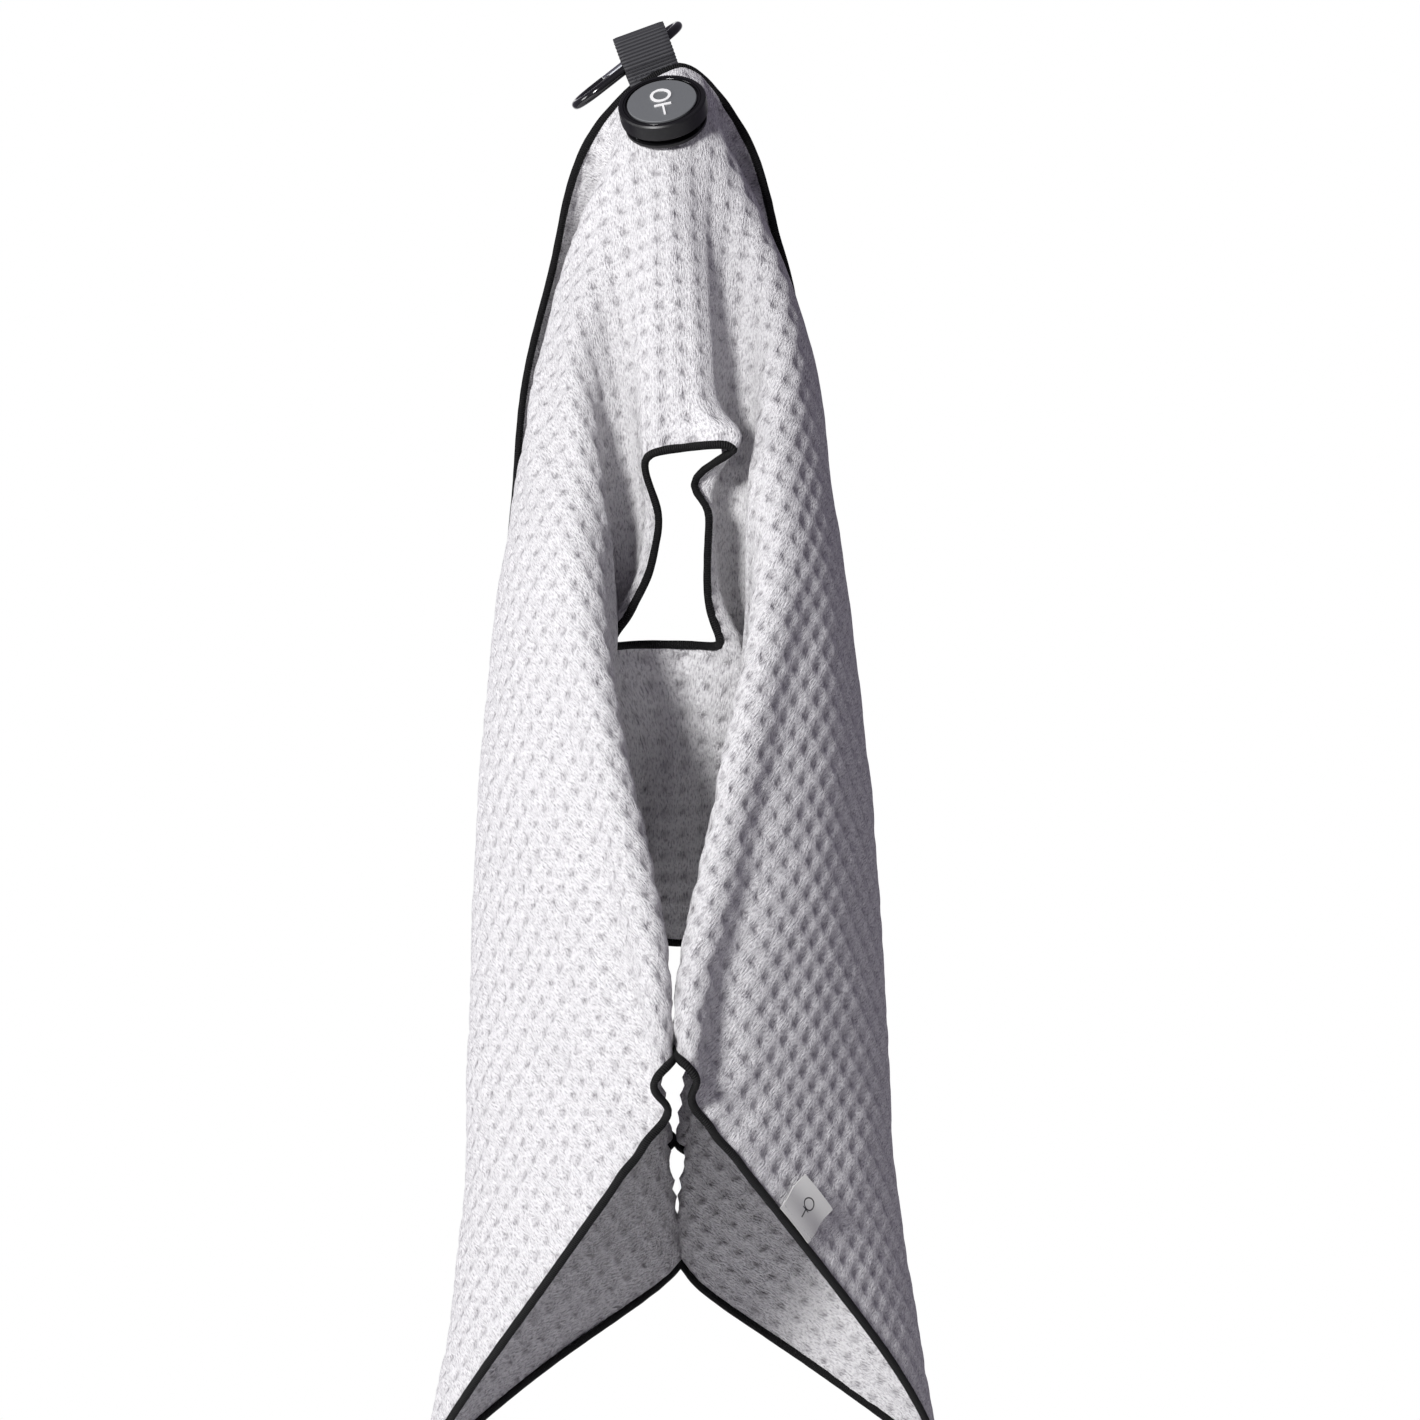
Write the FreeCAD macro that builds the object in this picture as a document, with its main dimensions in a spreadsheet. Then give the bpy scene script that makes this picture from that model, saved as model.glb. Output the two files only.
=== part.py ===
import FreeCAD, Part
import math
import os

import Sketcher
from FreeCAD import Placement, Rotation, Vector

# A golf towel hung from its magnet puck. A long rectangular cloth with a bound edge hangs in folds
# from the middle of one long edge. A webbing loop is sewn there and carries a snap hook, and the
# puck is clamped through the cloth just below it. Origin: centre of the puck's flat rear face.
# +Z is up and -Y is the side that shows the puck.

SIZES = {
    # cloth and its bound edges
    "towel_length": 1100, "towel_width": 423, "cloth_thick": 3.0, "hem_radius": 2.1,
    "slot_length": 96, "slot_width": 42, "slot_corner": 10, "slot_centre": 238,
    "puck_to_edge": 33,
    # puck, from the rear face forwards
    "rear_radius": 20, "rear_thick": 2.2, "clamp_gap": 3.2, "puck_radius": 21.5,
    "base_thick": 2.2, "front_thick": 6.6, "part_gap": 0.05,
    "badge_radius": 17, "badge_thick": 1.0, "trim_radius": 18.6, "trim_wire": 0.6,
    "magnet_radius": 13.5, "magnet_thick": 3.4, "cup_wall": 1.0,
    "motif_thick": 0.5, "motif_line": 1.5, "ball_radius": 5.2,
    "screw_circle": 17.2, "screw_radius": 1.0, "screw_head": 1.8, "screw_reach": 4.4,
    # webbing loop
    "web_width": 25, "web_thick": 1.4, "web_gap": 4.8, "web_foot": 3, "web_flat": 4.4,
    "web_top": 19.6, "stitch_radius": 0.3,
    # snap hook
    "wire_radius": 2.3, "hook_reach": 18.7, "hook_bow": 13, "gate_pivot": 12, "gate_tip": 12.4,
    "gate_radius": 2.2, "tongue_thick": 1.8, "tongue_high": 3.2, "gate_slot": 2.3,
    "pin_radius": 0.7, "latch_radius": 0.6, "latch_at": 10.6,
    "spring_radius": 0.75, "spring_wire": 0.16, "spring_length": 4.4, "plunger_radius": 0.8,
    "plunger_length": 2.4,
    # side label
    "label_width": 25, "label_drop": 21, "label_thick": 1.0, "label_place": 368,
}

# How the cloth hangs. Each fold line runs out from the middle of the top edge, at its own angle on
# the flat cloth from the towel's centre line. The shares are its sideways and rearward parts, as a
# fraction of the distance from that point: below the puck, level with the slot, and at the cloth's
# edge. The left side mirrors the right, and both lean a little to the right.
FOLD_LINES = [
    (0, (0.00, -0.50), (0.00, -0.27), (0.00, 0.02)),
    (8, (0.13, -0.48), (0.13, -0.28), (0.11, 0.02)),
    (15, (0.20, -0.40), (0.13, -0.17), (0.11, -0.08)),
    (30, (0.37, -0.30), (0.225, -0.34), (0.03, -0.28)),
    (37, (0.43, -0.20), (0.29, -0.26), (0.085, -0.235)),
    (45, (0.50, -0.08), (0.33, -0.13), (0.15, -0.135)),
    (52.4, (0.51, 0.00), (0.32, -0.02), (0.185, -0.01)),
    (66, (0.44, 0.20), (0.20, 0.15), (0.03, 0.155)),
    (78, (0.38, 0.32), (0.15, 0.29), (0.07, 0.28)),
    (90, (0.52, 0.17), (0.30, 0.20), (0.11, 0.20)),
]
TOP_LEAN = 0.06
LOW_LEAN = 0.018

# Distances along a fold line, in mm, to the shoulder and to the two rows beside the slot. The flat
# patch under the puck reaches HUB_SIDE to its sides and HUB_SIDE + HUB_DEEP downwards.
SHOULDER_ROW = 90
SLOT_ROWS = (180, 290)
HUB_SIDE = 14
HUB_DEEP = 44

# The side label is caught in the hem just after this fold line. Its root lies this far in from the
# middle of the hem, and it is lifted clear of the cloth's front.
LABEL_AFTER = 4
LABEL_ROOT = 0.6
LABEL_LIFT = 1.6

# How the hard pieces at the top stand, in degrees: the puck leans back and rolls to the right, the
# loop rolls with it, and the hook lies across the loop. The hook is pulled out to the left.
PUCK_LEAN = 43
PUCK_ROLL = 12
LOOP_ROLL = 20
LOOP_LEAN = 10
HOOK_ROLL = 38
HOOK_RISE = 12
HOOK_SHIFT = -10
HOOK_LIFT = 15

doc = FreeCAD.newDocument("golf_towel")
pieces = {}


def make_sheet():
    made = doc.addObject("Spreadsheet::Sheet", "Sizes")
    for row, (name, value) in enumerate(SIZES.items(), start=1):
        made.set("A%d" % row, name)
        made.set("B%d" % row, str(value))
        made.setAlias("B%d" % row, name)
    doc.recompute()
    return made


sheet = make_sheet()


def size(name):
    return float(getattr(sheet, name))


def link(formula):
    """The formula with each size name pointed at its cell in the sheet."""
    out = ""
    word = ""
    for mark in formula + " ":
        if mark.isalnum() or mark == "_":
            word += mark
            continue
        out += ("Sizes." + word if word in SIZES else word) + mark
        word = ""
    return out.strip()


def shape(kind, name, place=None, **sizes):
    """A Part primitive with its sizes bound to the sheet."""
    item = doc.addObject("Part::" + kind, name)
    for prop, formula in sizes.items():
        item.setExpression(prop, link(formula))
    if place:
        for axis, formula in zip("xyz", place):
            item.setExpression("Placement.Base." + axis, link(formula))
    return item


def turned(item, axis, degrees):
    item.Placement = Placement(item.Placement.Base, Rotation(axis, degrees))
    return item


def cut(name, base, tool):
    item = doc.addObject("Part::Cut", name)
    item.Base = base
    item.Tool = tool
    return item


def fuse(name, items):
    item = doc.addObject("Part::MultiFuse", name)
    item.Shapes = items
    return item


def group(name, items):
    item = doc.addObject("Part::Compound", name)
    item.Links = items
    return item


def finish(label, item, place=None):
    """Name a finished piece and put it in its place on the towel."""
    item.Label = label
    if place:
        item.Placement = place
    pieces[label] = item
    return item


def outline(body, plane, corners):
    """A closed sketch of straight lines, each corner held to the origin by two bound distances."""
    sketch = body.newObject("Sketcher::SketchObject", body.Name + "_outline")
    origin_plane = [f for f in body.Origin.OriginFeatures if f.Role == plane][0]
    sketch.AttachmentSupport = [(origin_plane, "")]
    sketch.MapMode = "FlatFace"
    spots = [Vector(*[float(sheet.evalExpression(c)) for c in corner], 0) for corner in corners]
    for number, spot in enumerate(spots):
        sketch.addGeometry(Part.LineSegment(spot, spots[(number + 1) % len(spots)]), False)
    for number in range(len(spots)):
        following = (number + 1) % len(spots)
        sketch.addConstraint(Sketcher.Constraint("Coincident", number, 2, following, 1))
    for number, corner in enumerate(corners):
        for kind, axis, formula in (("DistanceX", -2, corner[0]), ("DistanceY", -1, corner[1])):
            value = float(sheet.evalExpression(formula))
            if value == 0:
                sketch.addConstraint(Sketcher.Constraint("PointOnObject", number, 1, axis))
                continue
            spot = sketch.addConstraint(Sketcher.Constraint(kind, -1, 1, number, 1, value))
            sketch.setExpression("Constraints[%d]" % spot, link(formula))
    return sketch


def turned_body(name, corners):
    """A PartDesign body turned about Z from half a section, given as radius and height."""
    body = doc.addObject("PartDesign::Body", name)
    sketch = outline(body, "XZ_Plane", corners)
    turn = body.newObject("PartDesign::Revolution", name + "_turn")
    turn.Profile = sketch
    turn.ReferenceAxis = (sketch, ["V_Axis"])
    turn.Angle = 360
    return body


# Where the pieces stand. The puck's own frame has Z out of its face and Y up the cloth.
ROLL_AXIS = Vector(0, -1, 0)
LEAN_AXIS = Vector(1, 0, 0)
PUCK_TURN = Rotation(ROLL_AXIS, PUCK_ROLL) * Rotation(LEAN_AXIS, PUCK_LEAN)
PUCK = Placement(Vector(), PUCK_TURN)
CLOTH_LEVEL = size("rear_thick") + size("clamp_gap") / 2
EDGE_MIDDLE = PUCK.multVec(Vector(0, size("puck_to_edge"), CLOTH_LEVEL))
LOOP_TURN = Rotation(ROLL_AXIS, LOOP_ROLL) * Rotation(LEAN_AXIS, -LOOP_LEAN)
LOOP = Placement(EDGE_MIDDLE, LOOP_TURN)
HOOK_TURN = Rotation(ROLL_AXIS, HOOK_ROLL) * Rotation(LEAN_AXIS, HOOK_RISE)
HOOK_SPOT = LOOP.multVec(Vector(0, 0, HOOK_LIFT)) + HOOK_TURN.multVec(Vector(HOOK_SHIFT, 0, 0))
HOOK = Placement(HOOK_SPOT, HOOK_TURN)


def make_puck_rear_casing():
    """The plate behind the cloth. Its flat face is the one that sticks to steel."""
    body = turned_body("rear_plate", [
        ("0", "0"), ("rear_radius - 0.8", "0"), ("rear_radius", "0.8"), ("rear_radius", "rear_thick"),
        ("0", "rear_thick")])
    finish("puck_rear_casing", body, PUCK)


def screw(number):
    """One clamp screw, from its head in the rear plate to its tip in the front casing."""
    angle = math.radians(90 + 120 * number)
    place = ["screw_circle * %.6f" % math.cos(angle), "screw_circle * %.6f" % math.sin(angle)]
    shank = shape("Cylinder", "screw_shank_%d" % number, place + ["0.3"], Radius="screw_radius",
                  Height="rear_thick + clamp_gap + base_thick + screw_reach - 2.7")
    head = shape("Cone", "screw_head_%d" % number, place + ["0.3"], Radius1="screw_head",
                 Radius2="screw_radius", Height="1.2")
    return fuse("screw_%d" % number, [shank, head])


def make_clamp_screws():
    """Three short screws that hold the two halves of the puck together through the cloth."""
    finish("puck_clamp_screws", group("clamp_screws", [screw(n) for n in range(3)]), PUCK)


def make_puck_base_ring():
    """The lower shell in front of the cloth. The parting line shows above it."""
    body = turned_body("base_shell", [
        ("0", "rear_thick + clamp_gap"), ("puck_radius - 0.9", "rear_thick + clamp_gap"),
        ("puck_radius - 0.2", "rear_thick + clamp_gap + 0.7"),
        ("puck_radius - 0.2", "rear_thick + clamp_gap + base_thick"),
        ("0", "rear_thick + clamp_gap + base_thick")])
    finish("puck_base_shell", body, PUCK)


FRONT = "rear_thick + clamp_gap + base_thick + part_gap"


def make_puck_front_casing():
    """The round cover, hollow for the magnet and recessed for the badge and its trim ring."""
    cup_out = "magnet_radius + cup_wall + 2 * part_gap"
    cup_top = "magnet_thick + cup_wall + 2 * part_gap"
    body = turned_body("front_cover", [
        (cup_out, FRONT), ("puck_radius", FRONT), ("puck_radius", FRONT + " + front_thick - 0.7"),
        ("puck_radius - 0.7", FRONT + " + front_thick"),
        ("trim_radius + trim_wire + part_gap", FRONT + " + front_thick"),
        ("trim_radius + trim_wire + part_gap", FRONT + " + front_thick - 1.3"),
        ("badge_radius + part_gap", FRONT + " + front_thick - 1.3"),
        ("badge_radius + part_gap", FRONT + " + front_thick - badge_thick - part_gap"),
        ("0", FRONT + " + front_thick - badge_thick - part_gap"), ("0", FRONT + " + " + cup_top),
        (cup_out, FRONT + " + " + cup_top)])
    finish("puck_front_casing", body, PUCK)


def make_puck_magnet():
    """A disc magnet that faces the rear, in a steel cup that closes its field at the front."""
    magnet = shape("Cylinder", "magnet_disc", None, Radius="magnet_radius", Height="magnet_thick")
    in_cup = Placement(Vector(0, 0, sheet_value(FRONT + " + part_gap")), Rotation())
    finish("puck_magnet", magnet, PUCK * in_cup)
    wall = ("magnet_radius + part_gap", "magnet_radius + part_gap + cup_wall")
    top = (FRONT + " + magnet_thick + 2 * part_gap", FRONT + " + magnet_thick + part_gap + cup_wall")
    cup = turned_body("steel_cup", [
        (wall[0], FRONT + " + part_gap"), (wall[1], FRONT + " + part_gap"), (wall[1], top[1]),
        ("0", top[1]), ("0", top[0]), (wall[0], top[0])])
    finish("puck_pole_cup", cup, PUCK)


def sheet_value(formula):
    return float(sheet.evalExpression(formula))


def make_puck_badge():
    """The grey inset disc, the gloss trim ring round it and a raised generic ball-on-tee motif."""
    face = FRONT + " + front_thick"
    disc = turned_body("badge_plate", [
        ("0", face + " - badge_thick"), ("badge_radius", face + " - badge_thick"),
        ("badge_radius", face + " - 0.2"), ("badge_radius - 0.3", face + " + 0.1"),
        ("0", face + " + 0.1")])
    finish("puck_badge_disc", disc, PUCK)
    ring = shape("Torus", "trim_hoop", None, Radius1="trim_radius", Radius2="trim_wire")
    finish("puck_trim_ring", ring)
    ring.Placement = PUCK * Placement(Vector(0, 0, sheet_value(face + " - 0.6")), Rotation())


def make_puck_motif():
    """A ring for the ball above a wide-headed tee, both standing on the badge disc."""
    floor = FRONT + " + front_thick + 0.1 + part_gap"
    outer = shape("Cylinder", "ball_outer", ["0", "4.0", floor], Radius="ball_radius",
                  Height="motif_thick")
    inner = shape("Cylinder", "ball_inner", ["0", "4.0", floor + " - 1"],
                  Radius="ball_radius - motif_line", Height="motif_thick + 2")
    ball = cut("ball_ring", outer, inner)
    cap = shape("Box", "tee_cap", ["-4.2", "-4.6", floor], Length="8.4", Width="motif_line",
                Height="motif_thick")
    stem = shape("Wedge", "tee_stem", ["0", "-12.2", floor], Xmin="-0.5", Xmax="0.5", Ymin="0",
                 Ymax="8.4", Zmin="0", Zmax="motif_thick", X2min="-0.5", X2max="0.5", Z2min="0",
                 Z2max="motif_thick")
    tee = fuse("tee_shape", [cap, stem])
    finish("puck_motif", group("motif", [ball, tee]), PUCK)


def make_webbing_loop():
    """Ribbed webbing folded over on itself and sewn flat at the foot, open to both sides."""
    body = doc.addObject("PartDesign::Body", "web_fold")
    skin = "web_gap + web_thick"
    outer_sketch = outline(body, "YZ_Plane", [
        ("-web_thick", "-web_foot"), ("web_thick", "-web_foot"), ("web_thick", "web_flat"),
        (skin, "web_flat + 4.2"), (skin, "web_top"), (skin + " - 2.6", "web_top + " + skin + " - 1.4"),
        ("-(" + skin + " - 2.6)", "web_top + " + skin + " - 1.4"), ("-(" + skin + ")", "web_top"),
        ("-(" + skin + ")", "web_flat + 4.2"), ("-web_thick", "web_flat")])
    pad = body.newObject("PartDesign::Pad", "web_pad")
    pad.Profile = outer_sketch
    pad.setExpression("Length", link("web_width"))
    pad.Midplane = True
    inner_sketch = outline(body, "YZ_Plane", [
        ("0.3", "web_flat + 0.7"), ("web_gap", "web_flat + 4.8"), ("web_gap", "web_top"),
        ("web_gap - 2.0", "web_top + web_gap - 1.2"),
        ("-(web_gap - 2.0)", "web_top + web_gap - 1.2"),
        ("-web_gap", "web_top"), ("-web_gap", "web_flat + 4.8"), ("-0.3", "web_flat + 0.7")])
    pocket = body.newObject("PartDesign::Pocket", "web_eye")
    pocket.Profile = inner_sketch
    pocket.Type = 1
    pocket.Midplane = True
    finish("webbing_loop", body, LOOP)


def make_loop_stitching():
    """Two rows of short stitches across the front of the loop's foot."""
    stitches = []
    for row in range(2):
        for number in range(8):
            place = ["-web_width / 2 + %.3f" % (2.2 + 2.72 * number), "-web_thick - 0.3",
                     "hem_radius + %.2f" % (0.5 + 1.2 * row)]
            stitches.append(shape("Box", "stitch_%d_%d" % (row, number), place,
                                  Length="1.6", Width="0.4", Height="2 * stitch_radius"))
    finish("loop_stitching", group("loop_stitches", stitches), LOOP)


def make_hook_body():
    """The bent wire: a spine, two bows, a nose with a hooked tongue and a tongue for the gate."""
    spine = turned(shape("Cylinder", "hook_spine", ["-hook_reach", "0", "0"], Radius="wire_radius",
                         Height="2 * hook_reach"), Vector(0, 1, 0), 90)
    bows = []
    for name, side, angle in (("nose_bow", "-hook_reach", 90), ("tail_bow", "hook_reach", -90)):
        bow = shape("Torus", name, [side, "hook_bow", "0"], Radius1="hook_bow",
                    Radius2="wire_radius", Angle3="180")
        bows.append(turned(bow, Vector(0, 0, 1), angle))
    nose = turned(shape("Cylinder", "nose_stub", ["-hook_reach", "2 * hook_bow", "0"],
                        Radius="wire_radius", Height="hook_reach - gate_tip - 0.3"),
                  Vector(0, 1, 0), 90)
    tail = turned(shape("Cylinder", "tail_stub", ["gate_pivot + 3", "2 * hook_bow", "0"],
                        Radius="wire_radius", Height="hook_reach - gate_pivot - 3"),
                  Vector(0, 1, 0), 90)
    nose_tongue = shape("Box", "nose_tongue", ["-gate_tip - 2", "2 * hook_bow - 1.5",
                        "-tongue_thick / 2"], Length="gate_tip + 2 - latch_at + latch_radius + 0.9",
                        Width="3", Height="tongue_thick")
    tail_tongue = shape("Box", "tail_tongue", ["gate_pivot", "2 * hook_bow - tongue_high / 2",
                        "-tongue_thick / 2"], Length="4.5", Width="tongue_high",
                        Height="tongue_thick")
    tail_end = shape("Cylinder", "tail_end", ["gate_pivot", "2 * hook_bow", "-tongue_thick / 2"],
                     Radius="tongue_high / 2", Height="tongue_thick")
    solid = fuse("hook_wire", [spine] + bows + [nose, tail, nose_tongue, tail_tongue, tail_end])
    pin_hole = shape("Cylinder", "pin_hole", ["gate_pivot", "2 * hook_bow", "-3"],
                     Radius="pin_radius + part_gap", Height="6")
    notch = shape("Box", "latch_notch", ["-latch_at - latch_radius - 0.2", "2 * hook_bow - 3",
                  "-3"], Length="2 * latch_radius + 0.4", Width="3 + latch_radius + 0.2", Height="6")
    drilled = cut("hook_drilled", solid, fuse("hook_cuts", [pin_hole, notch]))
    finish("carabiner_body", drilled, HOOK)


def make_gate():
    """The sprung gate: a bar slotted at both ends, bored for its spring and plunger."""
    bar = turned(shape("Cylinder", "gate_bar", ["-gate_tip", "2 * hook_bow", "0"],
                       Radius="gate_radius", Height="gate_tip + gate_pivot"), Vector(0, 1, 0), 90)
    end = shape("Cylinder", "gate_end", ["gate_pivot", "2 * hook_bow", "-gate_radius"],
                Radius="gate_radius", Height="2 * gate_radius")
    round_off = turned(shape("Cylinder", "gate_round", ["0", "2 * hook_bow", "0"],
                             Radius="gate_radius", Height="20"), Vector(0, 1, 0), 90)
    knuckle = doc.addObject("Part::MultiCommon", "gate_knuckle")
    knuckle.Shapes = [end, round_off]
    solid = fuse("gate_solid", [bar, knuckle])
    tail_slot = shape("Box", "gate_tail_slot", ["gate_pivot - 2.4", "2 * hook_bow - 4",
                      "-gate_slot / 2"], Length="8", Width="8", Height="gate_slot")
    nose_slot = shape("Box", "gate_nose_slot", ["-gate_tip - 2", "2 * hook_bow - 4",
                      "-gate_slot / 2"], Length="gate_tip + 2.4 - latch_at + latch_radius + 0.9",
                      Width="8", Height="gate_slot")
    bore = turned(shape("Cylinder", "spring_bore", ["gate_pivot - 9.4", "2 * hook_bow", "0"],
                        Radius="plunger_radius + part_gap", Height="8"), Vector(0, 1, 0), 90)
    eye = shape("Cylinder", "gate_eye", ["gate_pivot", "2 * hook_bow", "-3"],
                Radius="pin_radius + part_gap", Height="6")
    latch_eye = shape("Cylinder", "latch_eye", ["-latch_at", "2 * hook_bow", "-3"],
                      Radius="latch_radius", Height="6")
    tool = fuse("gate_cuts", [tail_slot, nose_slot, bore, eye, latch_eye])
    finish("carabiner_gate", cut("gate_cut", solid, tool), HOOK)


def make_gate_pins():
    """The hinge pin at the tail, and the latch pin that hooks under the nose's tongue."""
    hinge = shape("Cylinder", "hinge_rod", None, Radius="pin_radius", Height="2 * gate_radius - 0.3")
    finish("gate_hinge_pin", hinge)
    at_hinge = Vector(size("gate_pivot"), 2 * size("hook_bow"), 0.15 - size("gate_radius"))
    hinge.Placement = HOOK * Placement(at_hinge, Rotation())
    latch = shape("Cylinder", "latch_rod", None, Radius="latch_radius", Height="2 * gate_radius - 0.3")
    finish("gate_latch_pin", latch)
    at_latch = Vector(-size("latch_at"), 2 * size("hook_bow"), 0.15 - size("gate_radius"))
    latch.Placement = HOOK * Placement(at_latch, Rotation())


def make_gate_spring():
    """A small coil in the gate's bore, and the plunger that it presses on the tail's tongue."""
    coil = doc.addObject("Part::Feature", "spring_coil")
    radius = size("spring_radius") - size("spring_wire")
    helix = Part.makeHelix(size("spring_length") / 6, size("spring_length"), radius)
    ring = Part.Wire(Part.makeCircle(size("spring_wire"), Vector(radius, 0, 0), Vector(0, 1, 0)))
    coil.Shape = Part.Wire(helix.Edges).makePipeShell([ring], True, True)
    to_bore = Placement(Vector(size("gate_pivot") - 9.2, 2 * size("hook_bow"), 0),
                        Rotation(Vector(0, 1, 0), 90))
    coil.Placement = HOOK * to_bore
    finish("gate_spring", coil)
    rod = shape("Cylinder", "plunger_rod", None, Radius="plunger_radius", Height="plunger_length")
    finish("gate_plunger", rod)
    to_tongue = Placement(Vector(size("gate_pivot") - 1.65 - size("plunger_length"),
                                 2 * size("hook_bow"), 0), Rotation(Vector(0, 1, 0), 90))
    rod.Placement = HOOK * to_tongue


def hub_reach(angle):
    """How far the flat patch under the puck reaches along a fold line."""
    return HUB_SIDE + HUB_DEEP * math.cos(math.radians(angle)) ** 2


def edge_reach(angle):
    """Distance along a fold line from the middle of the top edge to the cloth's far edge."""
    turn = math.radians(abs(angle))
    if math.tan(turn) * size("towel_width") <= size("towel_length") / 2:
        return size("towel_width") / math.cos(turn)
    return size("towel_length") / 2 / math.sin(turn)


def hung(side, share, reach, lean):
    """The point of the hanging cloth at this reach along a fold line."""
    across = side * share[0] + lean
    back = share[1]
    down = math.sqrt(1 - across * across - back * back)
    return EDGE_MIDDLE + Vector(across, back, -down) * reach


def fold_points(angle, side, shares):
    """One fold line: the patch's rim, the shoulder, two rows beside the slot, and the edge."""
    turn = math.radians(angle) * side
    flat = Vector(math.sin(turn), -math.cos(turn), 0) * hub_reach(angle)
    rim = EDGE_MIDDLE + PUCK.Rotation.multVec(flat)
    rows = [rim, hung(side, shares[0], SHOULDER_ROW, TOP_LEAN)]
    rows += [hung(side, shares[1], reach, LOW_LEAN) for reach in SLOT_ROWS]
    return rows + [hung(side, shares[2], edge_reach(angle), LOW_LEAN)]


def cloth_grid():
    """All fold lines from the left end of the top edge round to its right end."""
    left = [fold_points(line[0], -1, line[1:]) for line in reversed(FOLD_LINES[1:])]
    right = [fold_points(line[0], 1, line[1:]) for line in FOLD_LINES]
    return left + right


def cloth_triangles(grid):
    """Corner indices of the cloth's facets, point 0 being the middle of the top edge."""
    rows = len(grid[0])
    corners = []
    for line in range(len(grid) - 1):
        here = 1 + line * rows
        there = here + rows
        corners.append((0, here, there))
        for row in range(rows - 1):
            corners.append((here + row, here + row + 1, there + row + 1))
            corners.append((here + row, there + row + 1, there + row))
    return corners


def make_cloth():
    """The folded cloth, a thin sheet of flat facets, with the slot cut through its middle."""
    grid = cloth_grid()
    points = [EDGE_MIDDLE] + [spot for line in grid for spot in line]
    corners = cloth_triangles(grid)
    normals = [Vector() for spot in points]
    for a, b, c in corners:
        facing = (points[b] - points[a]).cross(points[c] - points[a]).normalize()
        for corner in (a, b, c):
            normals[corner] += facing
    half = size("cloth_thick") / 2
    front = [p + n.normalize() * half for p, n in zip(points, normals)]
    back = [p - n * half for p, n in zip(points, normals)]
    faces = [flat_face(front[a], front[b], front[c]) for a, b, c in corners]
    faces += [flat_face(back[a], back[c], back[b]) for a, b, c in corners]
    for a, b in rim_edges(corners):
        faces.append(flat_face(front[b], front[a], back[a]))
        faces.append(flat_face(front[b], back[a], back[b]))
    raw = doc.addObject("Part::Feature", "cloth_sheet")
    raw.Shape = Part.Solid(Part.Shell(faces))
    slot = shape("Box", "slot_block", None, Length="slot_width", Width="40", Height="slot_length")
    slot_round = doc.addObject("Part::Fillet", "slot_tool")
    slot_round.Base = slot
    doc.recompute()
    upright = [n for n, e in enumerate(slot.Shape.Edges, start=1)
               if abs((e.Vertexes[0].Point - e.Vertexes[1].Point).y) > 20]
    slot_round.Edges = [(n, size("slot_corner"), size("slot_corner")) for n in upright]
    slot_round.Placement = SLOT * Placement(Vector(-size("slot_width") / 2, -20,
                                                   -size("slot_length") / 2), Rotation())
    finish("towel_cloth", cut("cloth_cut", raw, slot_round))
    return grid


def flat_face(a, b, c):
    return Part.Face(Part.makePolygon([a, b, c, a]))


def rim_edges(corners):
    """The directed edges that belong to only one facet, which is the cloth's outer edge."""
    sides = [(t[n], t[(n + 1) % 3]) for t in corners for n in range(3)]
    known = set(sides)
    return [(a, b) for a, b in sides if (b, a) not in known]


def slot_place():
    """The slot's own frame: Z up the cloth's centre line, Y into the cloth."""
    up = -hung(1, FOLD_LINES[0][2], 1, LOW_LEAN) + EDGE_MIDDLE
    across = Vector(1, 0, 0)
    inward = up.cross(across).normalize()
    centre = EDGE_MIDDLE - up * size("slot_centre")
    return Placement(centre, Rotation(across, inward, up, "ZXY"))


SLOT = slot_place()


def cord(points, radius):
    """A closed cord with eight flat sides and a mitre at each corner, for a bound edge."""
    count = len(points)
    runs = [(points[(n + 1) % count] - points[n]).normalize() for n in range(count)]
    mitres = [(runs[n - 1] + runs[n]).normalize() for n in range(count)]
    side = runs[-1].cross(Vector(0.1, 1, 0.2)).normalize()
    other = runs[-1].cross(side)
    turns = [math.radians(45 * n + 22.5) for n in range(8)]
    ring = [points[0] + (side * math.cos(t) + other * math.sin(t)) * radius for t in turns]
    rings = [slide_to(ring, runs[-1], points[0], mitres[0])]
    for number in range(1, count):
        rings.append(slide_to(rings[-1], runs[number - 1], points[number], mitres[number]))
    last = slide_to(rings[-1], runs[-1], points[0], mitres[0])
    shift = min(range(8), key=lambda n: (last[0] - rings[0][n]).Length)
    rings.append(rings[0][shift:] + rings[0][:shift])
    faces = []
    for near, far in zip(rings, rings[1:]):
        for n in range(8):
            m = (n + 1) % 8
            faces.append(flat_face(near[n], far[n], far[m]))
            faces.append(flat_face(near[n], far[m], near[m]))
    solid = Part.Solid(Part.Shell(faces))
    if solid.Volume < 0:
        solid.reverse()
    return solid


def slide_to(ring, run, corner, mitre):
    """The ring moved along a run until it lies in the mitre plane at a corner."""
    return [p + run * ((corner - p).dot(mitre) / run.dot(mitre)) for p in ring]


def make_outer_hem(grid):
    """The bound edge all the way round the cloth."""
    path = [EDGE_MIDDLE] + grid[-1][:]
    path += [line[-1] for line in reversed(grid[:-1])]
    path += list(reversed(grid[0][:-1]))
    hem = doc.addObject("Part::Feature", "outer_cord")
    hem.Shape = cord(path, size("hem_radius"))
    finish("outer_hem", hem)


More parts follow.
